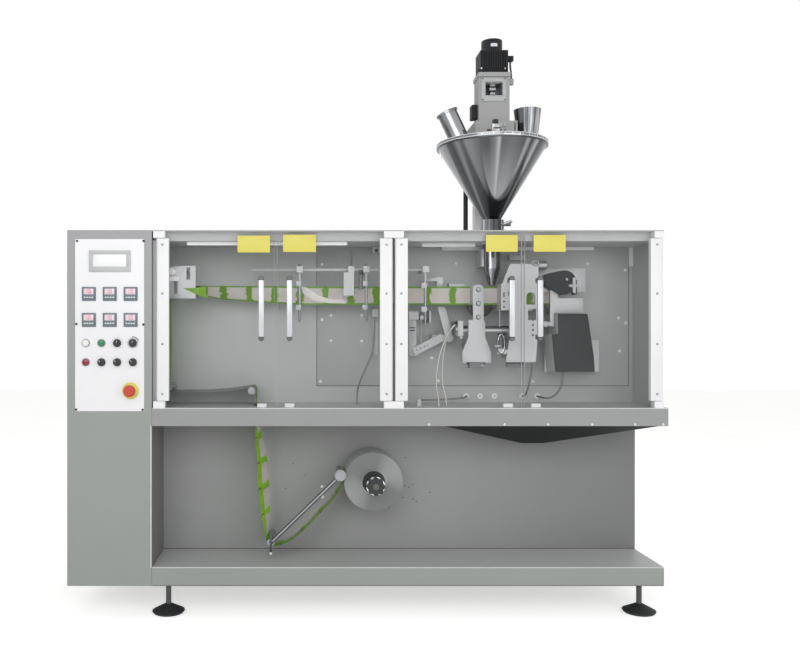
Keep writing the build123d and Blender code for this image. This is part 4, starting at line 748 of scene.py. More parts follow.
for node, (thick, material, length, route) in cordRoutes.items():
    curve = bpy.data.curves.new(pieceName(node), "CURVE")
    curve.dimensions = "3D"
    curve.bevel_depth = thick / 2
    curve.bevel_resolution = 3
    curve.resolution_u = cordSteps
    curve.use_fill_caps = True
    spline = curve.splines.new("NURBS")
    spline.points.add(len(route) - 1)
    for point, (x, depth, z) in zip(spline.points, route):
        point.co = (x, frontY + depth, z, 1.0)
    spline.order_u = 3
    spline.use_endpoint_u = True
    curve.materials.append(material)
    slotName = "black_rubber" if material is blackRubber else "hose_plastic"
    cord = linkPiece(pieceName(node), curve, "root", (node,))
    start = (route[0][0], frontY + route[0][1], route[0][2])
print("cords laid")

# Doors: a round-edged stile with screws, a pull handle of bright bar between tips dark with a painted
# reflection, the sheet's bright edge, and the blank yellow plate in its top corner, by its rectangle
# in pixels
doorLook = {
    "stile": 0.046, "thick": 0.020, "round": 0.010, "screwRadius": 0.0042,
    "screwRows": (244.5, 293.5, 344.0, 394.0), "plateThickness": 0.0006,
    "handleLow": 0.995, "handleHigh": 1.229, "handleHalf": 0.010, "handleEnd": 0.026, "handleDepth": 0.045,
    "handleTip": 0.015, "handleThick": 0.012, "tipBack": 0.0006, "footInset": 0.003, "footHalf": 0.009,
    "rim": 0.0016, "overlap": 0.001,
}
doorPlates = {
    "door_1": (1, 237.5, 270.0, 235.6, 252.5), "door_2": (-1, 283.0, 316.0, 234.7, 252.0),
    "door_3": (1, 486.0, 517.7, 235.0, 251.8), "door_4": (-1, 533.6, 565.7, 235.0, 251.8),
}


def addStile(bm, outline, low, high):
    # an upright bar from an XY outline, with chamfered ends
    lower, upper = [[bm.verts.new((x, y, z)) for x, y in outline] for z in (low, high)]
    caps = [bm.faces.new(lower), bm.faces.new(upper)]
    addStrip(bm, lower, upper)
    bevelEdges(bm, [e for cap in caps for e in cap.edges], 0.0006)


for door, (side, left, right, top, bottom) in doorPlates.items():
    look = doorLook
    frameLow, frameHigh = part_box(f"{door}_frame")
    glassLow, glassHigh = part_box(f"{door}_glass")
    back = frontY + look["thick"]
    hinge, free = (frameLow.x, glassHigh.x) if side > 0 else (frameHigh.x, glassLow.x)
    inner = hinge + side * look["stile"]
    radius = look["round"]
    # the hinge edge is half round about the pin, the inner edge is square
    outline = arcPoints((hinge + side * radius, frontY + radius), (side * radius, radius), 90, 270, 12)
    outline += [(inner, frontY), (inner, back)]
    newPiece(
        f"{door}Stile", enamelWhite, [(addStile, outline, frameLow.z, frameHigh.z)],
        door, (f"{door}_frame",),
    )
    newPiece(f"{door}Screws", groundSteel, [
        (addScrew, ((hinge + inner) / 2, frontY, seen(0, row, 0.0)[1]), look["screwRadius"])
        for row in look["screwRows"]
    ], door)

    middle, half, tip = free - side * look["stile"], look["handleHalf"], look["handleTip"]
    low, high, foot = look["handleLow"], look["handleHigh"], look["handleEnd"] / 2 + 0.002
    barFront = back - look["handleDepth"]
    newPiece(f"{door}HandleFeet", greyAbs, [
        (addBox, (middle - half + look["footInset"], barFront + 0.009, centre - look["footHalf"]),
         (middle + half - look["footInset"], back, centre + look["footHalf"]), 0.002)
        for centre in (low + foot, high - foot)
    ], door)
    newPiece(f"{door}HandleBar", satinChrome, [
        (addBox, (middle - half, barFront, low + tip),
         (middle + half, barFront + look["handleThick"], high - tip), 0.0028),
    ], door)
    tips = []
    tip += look["overlap"]
    tipFront = barFront + look["tipBack"]
    for first, centre, stop in ((180, high - half, high - tip), (0, low + half, low + tip)):
        rim = arcPoints((middle, centre), (half, half), first, first - 180, 12)
        rim += [(rim[-1][0], stop), (rim[0][0], stop)]
        tips.append((addPlate, rim, tipFront, tipFront + look["handleThick"], 0.0025))
    newPiece(f"{door}HandleTips", tipChrome, tips, door)

    (x0, z1), (x1, z0) = seen(left, top, look["thick"]), seen(right, bottom, look["thick"])
    newPiece(f"{door}Plate", yellowSheet, [
        (addBox, (x0, back - look["plateThickness"], z0), (x1, back, min(z1, glassHigh.z - 0.004)), 0.0002),
    ], door)
    rimLeft = free - look["rim"] if side > 0 else free
    newPiece(f"{door}SheetEdge", ringGrey, [
        (addBox, (rimLeft, back + 0.0002, glassLow.z),
         (rimLeft + look["rim"], glassHigh.y - 0.0002, glassHigh.z), 0.0003),
    ], door)
print("doors built")

# Control panel: display, controllers, lamps and knobs. Rectangles are (left, low, right, high)
# about the middle of what they belong to, in metres.
panelY = plateLow.y
panelLook = {
    "screws": ((77.3, 241.0), (143.8, 241.0), (76.6, 324.0), (143.5, 324.5), (76.3, 409.5), (142.8, 409.7)),
    "screwRadius": 0.0042,
    "display": (-0.9275, 1.2825), "screen": (-0.061, -0.0215, 0.061, 0.0255),
    "bezel": (
        (-0.07475, -0.03825, 0.07475, -0.020), (-0.07475, 0.024, 0.07475, 0.03825),
        (-0.07475, -0.0205, -0.0595, 0.0245), (0.0595, -0.0205, 0.07475, 0.0245),
    ),
    "controllers": (-0.9275, 1.118), "pitch": (0.075, 0.0935),
    "steps": ((0.025, 0.0045, 0.0, 0.0014), (0.0215, 0.008, 0.0045, 0.001)),
    "glass": (-0.0175, -0.002, 0.0175, 0.0185), "key": (-0.003, -0.0022, 0.003, 0.0022),
    "keysFrom": (-0.0135, -0.0125), "keyPitch": 0.009,
    "texts": ("180", "150", "112", "185", "150", "120"), "digitsFrom": -0.010, "digitPitch": 0.0072,
    "digitRows": (0.010, 0.0005), "digit": (0.0042, 0.0062, 0.0009),
    "switchX": (-1.014, -0.9576, -0.9012, -0.8448), "switchZ": (0.988, 0.919),
    "dotCircle": 0.0195, "arcCircle": 0.0222,
}


def addOnPanel(bm, place, rectangle, out, sunk=0.0, edge=0.0008):
    # a box on the panel by its rectangle about a place, and how far its front and back stand out
    (x, z), (left, low, right, high) = place, rectangle
    addBox(bm, (x + left, panelY - out, z + low), (x + right, panelY - sunk, z + high), edge)


newPiece("panelScrews", blackAbs, [
    (addScrew, (seen(px, py, 0.0)[0], panelY, seen(px, py, 0.0)[1]), panelLook["screwRadius"])
    for px, py in panelLook["screws"]
])
newPiece("displayBezel", powderLight, [
    (addOnPanel, panelLook["display"], bar, 0.006, 0.0, 0.0012) for bar in panelLook["bezel"]
])
newPiece("displayScreen", screenGlass, [
    (addOnPanel, panelLook["display"], panelLook["screen"], 0.0040, 0.0005),
])

(middleX, middleZ), (pitchX, pitchZ) = panelLook["controllers"], panelLook["pitch"]
controllers = [
    (middleX + column * pitchX, middleZ + row * pitchZ) for row in (0.5, -0.5) for column in (-1, 0, 1)
]
newPiece("controllerBodies", slateAbs, [
    (addOnPanel, place, (-half, -half, half, half), out, sunk, edge) for place in controllers
    for half, out, sunk, edge in panelLook["steps"]
], replaced=("panel_instruments",))
newPiece("controllerWindows", pinkGlass, [
    (addOnPanel, place, panelLook["glass"], 0.00835, 0.0079, 0.0002) for place in controllers
])

# Two rows of red strokes on each window, laid out as seven-segment digits
wide, tall, thick = panelLook["digit"]
strokes = {"0": "abcdef", "1": "bc", "2": "abged", "5": "afgcd", "8": "abcdefg"}
strokePlaces = {
    "a": (0, tall, wide, tall + thick), "g": (0, tall / 2, wide, tall / 2 + thick), "d": (0, 0, wide, thick),
    "f": (0, tall / 2, thick, tall), "b": (wide - thick, tall / 2, wide, tall),
    "e": (0, 0, thick, tall / 2), "c": (wide - thick, 0, wide, tall / 2),
}
newPiece("controllerDigits", redGlow, [
    (addOnPanel, (x + panelLook["digitsFrom"] + number * panelLook["digitPitch"], z + up),
     strokePlaces[stroke], 0.0086, 0.0083, 0.00005)
    for (x, z), text in zip(controllers, panelLook["texts"]) for up in panelLook["digitRows"]
    for number, digit in enumerate(text) for stroke in strokes[digit]
])
newPiece("controllerKeys", whiteLens, [
    (addOnPanel, (x + panelLook["keysFrom"][0] + key * panelLook["keyPitch"], z + panelLook["keysFrom"][1]),
     panelLook["key"], 0.0089, 0.0079, 0.0006)
    for x, z in controllers for key in range(4)
])

switchKinds = (("lamp", "button", "scaleKnob", "dialKnob"), ("stopLamp", "selector", "selector", "selector"))


def switchPlaces(*kinds):
    return [
        (x, panelY, z) for row, z in zip(switchKinds, panelLook["switchZ"])
        for kind, x in zip(row, panelLook["switchX"]) if kind in kinds
    ]


def addBar(bm, place, tilt, size, lift, out, edge=None):
    # a bar across a knob, turned about the knob's axis
    made = bmesh.ops.create_cube(bm, size=1.0)["verts"]
    turn = Matrix.Rotation(math.radians(tilt), 3, "Y")
    for vert in made:
        local = Vector([vert.co[i] * size[i] for i in range(3)]) + Vector((0, 0, lift))
        vert.co = turn @ local + Vector(place) - Vector((0, out, 0))
    if edge:
        edges = list({e for v in made for e in v.link_edges})
        bmesh.ops.bevel(bm, geom=edges, offset=edge, segments=2, affect="EDGES")


bezelProfile = [
    (0.0122, 0.0), (0.0148, 0.0), (0.0148, 0.0026), (0.0140, 0.0036), (0.0124, 0.0036), (0.0122, 0.0),
]
lensProfile = [(0.0, 0.0115), (0.006, 0.0112), (0.0102, 0.0098), (0.0121, 0.0065), (0.0121, 0.0005)]
knobProfile = [
    (0.0145, 0.0005), (0.0145, 0.004), (0.0125, 0.005), (0.0118, 0.0165), (0.0105, 0.018), (0.0, 0.018),
]
dotProfile = [(0.0, 0.00035), (0.0009, 0.0003), (0.0011, 0.0)]
ringProfile = [
    (0.0146, 0.0), (0.0182, 0.0), (0.0182, 0.0022), (0.0172, 0.0032), (0.0146, 0.0032), (0.0146, 0.0),
]
newPiece("switchBezels", groundSteel, [
    (addTurned, bezelProfile, place, forward) for place in switchPlaces("lamp", "button", "stopLamp")
], replaced=("panel_switches",))
for name, kind, material, slotName in (
    ("lampLens", "lamp", whiteLens, "clear_sheet"), ("startLens", "button", greenLens, "clear_sheet"),
    ("haltLens", "stopLamp", redLens, "red_plastic"),
):
    newPiece(name, material, [(addTurned, lensProfile, switchPlaces(kind)[0], forward)])

knobs = [(place, -35) for place in switchPlaces("selector")]
knobs += [(place, 20) for place in switchPlaces("scaleKnob", "dialKnob")]
newPiece("knobBodies", blackAbs, [
    (addTurned, knobProfile, place, forward) for place, tilt in knobs
])
newPiece("knobGrips", blackAbs, [
    (addBar, place, tilt, (0.0052, 0.0055, 0.0205), 0.0, 0.0192, 0.0012) for place, tilt in knobs
])
newPiece("knobPointers", whiteLens, [
    (addBar, place, tilt, (0.0014, 0.0004, 0.0075), 0.0055, 0.0221) for place, tilt in knobs
])
# the printed scale round the two speed knobs, and the ring and the dark arc of the second
circle = (panelLook["dotCircle"],) * 2
newPiece("dialDots", blackAbs, [
    (addTurned, dotProfile, (x, panelY, z), forward, 8) for knob in switchPlaces("scaleKnob", "dialKnob")
    for x, z in arcPoints((knob[0], knob[2]), circle, 225, -45, 10)
])
dial = switchPlaces("dialKnob")[0]
newPiece("dialRing", machinedAluminium, [(addTurned, ringProfile, dial, forward, 40)])
circle = (panelLook["arcCircle"],) * 2
dialArc = [(x, panelY - 0.0006, z) for x, z in arcPoints((dial[0], dial[2]), circle, 22, 100, 12)]
newPiece("dialArc", blackAbs, [(addTube, dialArc, 0.0012)])
print("control panel built")

# Small white screws along the counter's lip, and bolts of the cover panel
fastenerLook = {
    "lip": (429.0, 504.5, 548.0, 592.0, 635.0, 663.0), "lipRow": 425.5, "lipRadius": 0.0045, "lipEdge": 0.006,
    "cover": (
        (322.0, 264.5), (322.0, 319.5), (331.0, 315.5), (331.0, 340.7), (361.7, 315.3), (361.5, 341.0),
        (320.4, 381.5), (455.8, 263.7), (587.0, 264.0), (625.0, 270.0), (618.3, 318.0), (625.5, 323.0),
        (619.4, 351.0), (627.0, 381.0), (431.5, 358.0), (438.0, 381.0), (532.5, 381.5),
    ),
    "coverDepth": 0.258, "coverRadius": 0.0062, "coverEdge": 0.008,
}
lipPlaces = [seen(px, fastenerLook["lipRow"], 0.0) for px in fastenerLook["lip"]]
newPiece("lipScrews", enamelWhite, [
    (addScrew, (x, counterLow.y, max(z, counterLow.z + fastenerLook["lipEdge"])), fastenerLook["lipRadius"])
    for x, z in lipPlaces
])
edge = fastenerLook["coverEdge"]
coverPlaces = [seen(px, py, fastenerLook["coverDepth"]) for px, py in fastenerLook["cover"]]
newPiece("coverBolts", enamelWhite, [
    (addScrew, (x, coverLow.y, z), fastenerLook["coverRadius"]) for x, z in coverPlaces
    if coverLow.x + edge < x < coverHigh.x - edge and coverLow.z + edge < z < coverHigh.z - edge
])

# Film: the web from the reel over the dancer and the idlers to the former, then folded double.
# Each stretch is a ruled surface between its front edge and its back edge.
filmEdges = {"front": frontY + 0.100, "back": frontY + 0.240, "thickness": 0.0006, "across": 10}


def smoothRun(points, steps):
    # a smooth line through given points, as a Catmull-Rom run
    line = []
    last = len(points) - 1
    for i in range(last):
        p0 = Vector(points[max(i - 1, 0)])
        p1, p2 = Vector(points[i]), Vector(points[i + 1])
        p3 = Vector(points[min(i + 2, last)])
        for step in range(steps):
            t = step / steps
            line.append(0.5 * (2 * p1 + (p2 - p0) * t + (2 * p0 - 5 * p1 + 4 * p2 - p3) * t * t
                               + (3 * p1 - p0 - 3 * p2 + p3) * t ** 3))
    line.append(Vector(points[last]))
    return line


def filmSheet(name, front, back, material, printed, body, replaced=(), startAt=0.0):
    # front and back are lines with as many points each, and the web lies between them. Printed is
    # how much of the web's width its print takes in.
    across = filmEdges["across"]
    bm = bmesh.new()
    layer = bm.loops.layers.uv.new("filmPlace")
    rows = []
    run = startAt
    for i, (a, b) in enumerate(zip(front, back)):
        if i:
            run += ((a - front[i - 1]).length + (b - back[i - 1]).length) / 2
        shares = [j / across for j in range(across + 1)]
        rows.append([(bm.verts.new(a.lerp(b, share)), (run, printed * share)) for share in shares])
    for first, last in zip(rows, rows[1:]):
        for j in range(across):
            corners = (first[j], first[j + 1], last[j + 1], last[j])
            face = bm.faces.new([vert for vert, place in corners])
            for loop, (vert, place) in zip(face.loops, corners):
                loop[layer].uv = place
    bmesh.ops.solidify(bm, geom=bm.faces[:], thickness=filmEdges["thickness"])
    return finishPiece(name, bm, material, body, replaced, 60)


def centreOf(node):
    low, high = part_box(node)
    return Vector(((low.x + high.x) / 2, 0, (low.z + high.z) / 2))


rollerA, rollerB, rollerC, dancerRoller, reelCentre = [centreOf(node) for node in (
    "idler_roller_a", "idler_roller_b", "idler_roller_c", "dancer_roller", "film_roll",
)]
wrap = 0.0147


def arc(centre, first, last, steps=8):
    # points of the web round a roller, from one angle to another
    return [(x, 0, z) for x, z in arcPoints((centre.x, centre.z), (wrap, wrap), first, last, steps)]


def atDepth(points, y):
    return [Vector((x, y, z)) for x, _, z in points]


slotX = rollerA.x + wrap
riseX = rollerB.x - wrap
riseSlack = 0.0065
upperRuns = {
    "filmSlotRun": (
        [(slotX, 0, counterHigh.z - 0.032), (slotX, 0, rollerA.z - 0.02)] + arc(rollerA, 0, 60),
        printedFilm, filmLook["border"],
    ),
    "filmSagRun": (
        arc(rollerA, 60, 100) + [(-0.50, 0, 0.8135), (-0.58, 0, 0.8075), (-0.66, 0, 0.8055)]
        + arc(rollerB, 278, 240), greyFilm, filmLook["width"],
    ),
    "filmRiseRun": (
        arc(rollerB, 240, 180) + [(riseX, 0, 0.93), (riseX, 0, 1.08), (riseX, 0, rollerC.z - 0.03)]
        + arc(rollerC, 180, 50), printedFilm, filmLook["border"],
    ),
}  # the border alone is all green
for name, (points, material, printed) in upperRuns.items():
    line = smoothRun(points, 3)
    backEdge = atDepth(line, filmEdges["back"])
    for point in backEdge:
        # the rising web's back edge bellies out between its rollers
        if name == "filmRiseRun" and rollerB.z < point.z < rollerC.z:
            point.x += riseSlack * math.sin(math.pi * (point.z - rollerB.z) / (rollerC.z - rollerB.z)) ** 0.5
    frontEdge = atDepth(line, filmEdges["front"])
    filmSheet(name, frontEdge, backEdge, material, printed, "root", ("film_upper_run",))
print("upper film laid")

# From the slot down to the dancer: the back edge hangs out to the right, so the web twists. The
# loop shows little but its border, so its print takes in less of the web's width.
loopLook = {"width": 0.010, "slack": 0.0165, "gather": 0.055, "droop": 0.004}
slackTop = [(slotX, 0, counterLow.z + 0.033)]
slackFront = slackTop + [
    (slotX, 0, counterLow.z), (slotX - 0.0005, 0, 0.62), (-0.403, 0, 0.55), (-0.400, 0, 0.47),
    (-0.392, 0, 0.39), (-0.381, 0, 0.31),
]
slackBack = slackTop + [
    (slotX + 0.002, 0, counterLow.z), (-0.388, 0, 0.62), (-0.3735, 0, 0.55), (-0.3655, 0, 0.47),
    (-0.360, 0, 0.39), (-0.359, 0, 0.31),
]
underRoller = arc(dancerRoller, 190, 270, 5)
slackFilm = filmSheet(
    "filmSlackRun", atDepth(smoothRun(slackFront + underRoller, 6), filmEdges["front"]),
    atDepth(smoothRun(slackBack + underRoller, 6), filmEdges["back"]), loopFilm, loopLook["slack"], None,
    ("film_lower_loop",),
)

# From the dancer to the wound film, gathered between the two
reelLeave = math.radians(160)
reelRadius = 0.1105
feedLine = [
    (reelCentre.x + reelRadius * math.cos(reelLeave), 0, reelCentre.z + reelRadius * math.sin(reelLeave)),
    (-0.100, 0, 0.430), (-0.170, 0, 0.352), (-0.262, 0, 0.262), (-0.322, 0, 0.2335),
]
feedPoints = smoothRun(feedLine + arc(dancerRoller, 295, 270, 2), 6)
feedBack = []
for number, point in enumerate(feedPoints):
    gather = math.sin(math.pi * number / (len(feedPoints) - 1))
    depth = filmEdges["back"] - loopLook["gather"] * gather
    feedBack.append(Vector((point.x, depth, point.z - loopLook["droop"] * gather)))
feedFilm = filmSheet(
    "filmFeedRun", atDepth(feedPoints, filmEdges["front"]), feedBack, printedFilm, loopLook["width"], None,
    ("film_lower_loop",),
)
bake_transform(slackFilm)
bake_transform(feedFilm)
print("loop laid")

# Folded band: both halves stand beside each other, open at the top, green rims on each
foldLook = {
    "stations": (0.0, 0.030, 0.070, 0.132, 0.230, 0.330, 0.421),
    "drops": (0.002, 0.020, 0.038, 0.050, 0.057, 0.064, 0.0695),
    "half": 0.070, "gap": 0.0011, "printShift": 0.040, "steps": 60,
    "underTop": 0.001, "overFoot": 0.0006, "seam": (0.0003, 0.0004), "beforeEnd": 0.0005,
}
formerX = columnX + 0.1055
for name, side in (("foldedFilmNear", -1), ("foldedFilmFar", 1)):
    edgeLine, foldLine = [], []
    topZ, (firstSeam, seam) = bandHigh.z - foldLook["underTop"], foldLook["seam"]
    for along, drop in zip(foldLook["stations"], foldLook["drops"]):
        width = math.sqrt(max(foldLook["half"] ** 2 - drop ** 2, foldLook["gap"] ** 2))
        edgeLine.append(Vector((formerX + along, filmMiddleY + side * width, topZ)))
        foldLine.append(Vector((formerX + along, filmMiddleY + side * firstSeam, bandHigh.z - drop)))
    start, stop = edgeLine[-1].x, bandHigh.x - foldLook["beforeEnd"]
    for step in range(1, foldLook["steps"] + 1):
        x = start + (stop - start) * step / foldLook["steps"]
        edgeLine.append(Vector((x, filmMiddleY + side * foldLook["gap"], topZ)))
        foldLine.append(Vector((x, filmMiddleY + side * seam, bandLow.z + foldLook["overFoot"])))
    filmSheet(
        name, edgeLine, foldLine, paleFilm, foldLook["half"], "root", ("folded_film",),
        foldLook["printShift"],
    )

# The reel: wound film with fine rings on its faces and the turned highlights of a wound face, paler
# on its outside
woundFilm = grained("woundFilmEdges", "6E706F", "7C7E7D", 70, 1.6, (0.36, 0.48), 0.04)
tree = woundFilm.node_tree
angle, radius = aroundAxis(tree, (reelCentre.x, reelCentre.z), "X", "Z")
twice = addNode(tree, "Math", {1: 2.0, 2: 0.6}, {0: angle}, operation="MULTIPLY_ADD")
turns = addNode(tree, "Math", {1: 2 * math.pi / 0.0032}, {0: radius}, operation="MULTIPLY")
sweep, rings = [addNode(tree, "Math", links={0: source}, operation="SINE") for source in (twice, turns)]
for source, values, hexColour in (
    (sweep, span(-0.2, 1.0, 0.0, 0.5), "B2B4B3"), (rings, span(0.6, 1.0, 0.0, 0.18), "4E504F"),
    (radius, span(0.1088, 0.1096), "A4A6A5"),
):
    coatOver(tree, addNode(tree, "MapRange", values, {"Value": source}), hexColour)

knobLook = {"radius": 0.0312, "lobe": 0.0025, "lobes": 8, "steps": 96}
knobRows = ((-0.006, 0.90), (-0.0045, 0.97), (0.000, 1.0), (0.012, 1.0), (0.015, 0.93))


def addKnob(bm):
    # a lobed star knob
    rows = []
    for depth, share in knobRows:
        row = []
        for step in range(knobLook["steps"]):
            angle = 2 * math.pi * step / knobLook["steps"]
            radius = (knobLook["radius"] + knobLook["lobe"] * math.cos(knobLook["lobes"] * angle)) * share
            x, z = reelCentre.x + radius * math.cos(angle), reelCentre.z + radius * math.sin(angle)
            row.append(bm.verts.new((x, frontY + depth, z)))
        rows.append(row)
    for first, last in zip(rows, rows[1:]):
        addStrip(bm, first, last)
    bm.faces.new(rows[0])
    bm.faces.new(list(reversed(rows[-1])))


def onReel(profile, depth, axis, steps):
    # a turned shape on the reel's axis, at a depth behind the front plane
    return addTurned, profile, (reelCentre.x, frontY + depth, reelCentre.z), axis, steps


reelParts = {
    "reelRoll": (woundFilm, "film_plastic", [onReel([
        (0.0445, -0.070), (0.052, -0.0692), (0.1075, -0.0696), (0.1098, -0.0678),
        (0.1098, 0.0678), (0.1075, 0.0696), (0.052, 0.0692), (0.0445, 0.070),
    ], 0.170, inward, 96)], ("film_roll",)),
    "reelCoreRing": (groundSteel, "brushed_steel", [onReel(
        [(0.0425, 0.0), (0.0452, 0.0), (0.0452, 0.0086), (0.0425, 0.0086), (0.0425, 0.0)], 0.100, forward, 64,
    )], ()),
    "reelKnob": (blackAbs, "black_plastic", [(addKnob,)], ("reel_hub",)),
    "reelSleeve": (blackAbs, "black_plastic", [
        onReel([(0.0151, -0.001), (0.0205, 0.0), (0.0205, 0.082), (0.0151, 0.083)], 0.015, inward, 48),
        onReel([
            (0.0205, -0.008), (0.0425, -0.008), (0.0435, -0.007), (0.0435, 0.0), (0.040, 0.0),
        ], 0.100, inward, 64),
        onReel([(0.0151, 0.0), (0.0395, 0.0), (0.0395, 0.139), (0.0151, 0.139)], 0.100, inward, 48),
    ], ()),
    "reelKnobRim": (chromePlate, "polished_steel", [onReel(
        [(0.029, 0.0), (0.0335, 0.0), (0.0335, 0.0028), (0.029, 0.0028), (0.029, 0.0)], 0.0152, inward, 64,
    )], ()),
    "reelKnobCap": (oliveAbs, "brushed_steel", [
        onReel([(0.0, 0.0022), (0.008, 0.0018), (0.0112, 0.0)], -0.006, forward, 24),
    ], ()),
}
for name, (material, slotName, shapes, replaced) in reelParts.items():
    newPiece(name, material, shapes, "reel", replaced)
print("reel built")

# Stations: bolts and dark holes that the frame leaves plain, in pixels
stationLook = {
    "bolts": ((478.4, 289.6), (478.4, 303.6), (478.4, 317.3)), "boltRadius": 0.0075,
    "footBolt": (0.4325, 0.903), "footBoltRadius": 0.005,
    "holes": (
        (504.0, 293.5), (504.0, 296.0), (504.0, 301.5), (504.0, 307.0),
        (533.0, 320.0), (533.0, 325.0), (533.0, 330.0), (533.0, 335.0),
    ),
    "boltDepth": 0.112, "holeDepth": 0.104,
    "grommetX": (0.406, 0.461, 0.517, 0.625, 0.684), "grommetZ": 0.778,
}
footX, footZ = stationLook["footBolt"]
newPiece("jawBolts", groundSteel, [
    (addScrew, seenPoint(px, py, stationLook["boltDepth"]), stationLook["boltRadius"])
    for px, py in stationLook["bolts"]
] + [(addScrew, (footX, frontY + stationLook["holeDepth"], footZ), stationLook["footBoltRadius"])])
newPiece("unitDots", blackAbs, [
    (addTurned, [(0.0, 0.0004), (0.0034, 0.0004), (0.0038, 0.0)],
     seenPoint(px, py, stationLook["holeDepth"]), forward, 12)
    for px, py in stationLook["holes"]
])
grommetProfile = [(0.0045, 0.0), (0.0045, 0.0046), (0.0075, 0.0058), (0.0112, 0.004), (0.0115, 0.0)]
newPiece("grommetRings", enamelWhite, [
    (addTurned, grommetProfile, (x, wallLow.y, stationLook["grommetZ"]), forward, 24)
    for x in stationLook["grommetX"]
])

# Hopper: a dark ring of painted shadow under the lid's rim and a bright band round the rim, by
# profiles inward from the rim
rim = (lidHigh.x - lidLow.x) / 2
for name, material, slotName, profile in (
    ("hopperRimShadow", darkSteel, "black_rubber", (
        (0.010, -0.0075), (0.0016, -0.0075), (0.0010, -0.002), (0.010, -0.002),
    )),
    ("hopperRimBand", chromePlate, "polished_steel", (
        (0.010, -0.002), (0.0008, -0.002), (0.0, 0.0), (0.0, 0.008), (0.0008, 0.010), (0.010, 0.010),
    )),
):
    turned = [(rim - inset, height) for inset, height in profile]
    newPiece(name, material, [(addTurned, turned, (*hopperAxis, lidLow.z), upward, 96)])

# Motor: upright cooling ribs on its front and back, and the blank pale plate on its cap
ribLook = {"pitch": 0.0088, "half": 0.0022, "out": 0.005, "low": 0.004, "high": 0.081}
newPiece("motorRibs", motorBlack, [
    (addBox, (x - ribLook["half"], start, driveHigh.z + ribLook["low"]),
     (x + ribLook["half"], start + ribLook["out"], driveHigh.z + ribLook["high"]), 0.0006)
    for x in [hopperX + step * ribLook["pitch"] for step in range(-5, 6)]
    for start in (motorLow.y - ribLook["out"], motorHigh.y)
])
capLook = {"radius": 0.0394, "half": 18, "steps": 6, "low": 0.031, "high": 0.019}


def addCapPlate(bm):
    # a thin sheet round the cap's front
    around = arcPoints(
        hopperAxis, (capLook["radius"],) * 2, -90 - capLook["half"], -90 + capLook["half"], capLook["steps"],
    )
    drops = (capLook["low"], capLook["high"])
    lower, upper = [[bm.verts.new((x, y, motorHigh.z - drop)) for x, y in around] for drop in drops]
    for step in range(capLook["steps"]):
        bm.faces.new((lower[step], lower[step + 1], upper[step + 1], upper[step]))


newPiece("capPlate", paleCap, [(addCapPlate,)])
print("stations built")

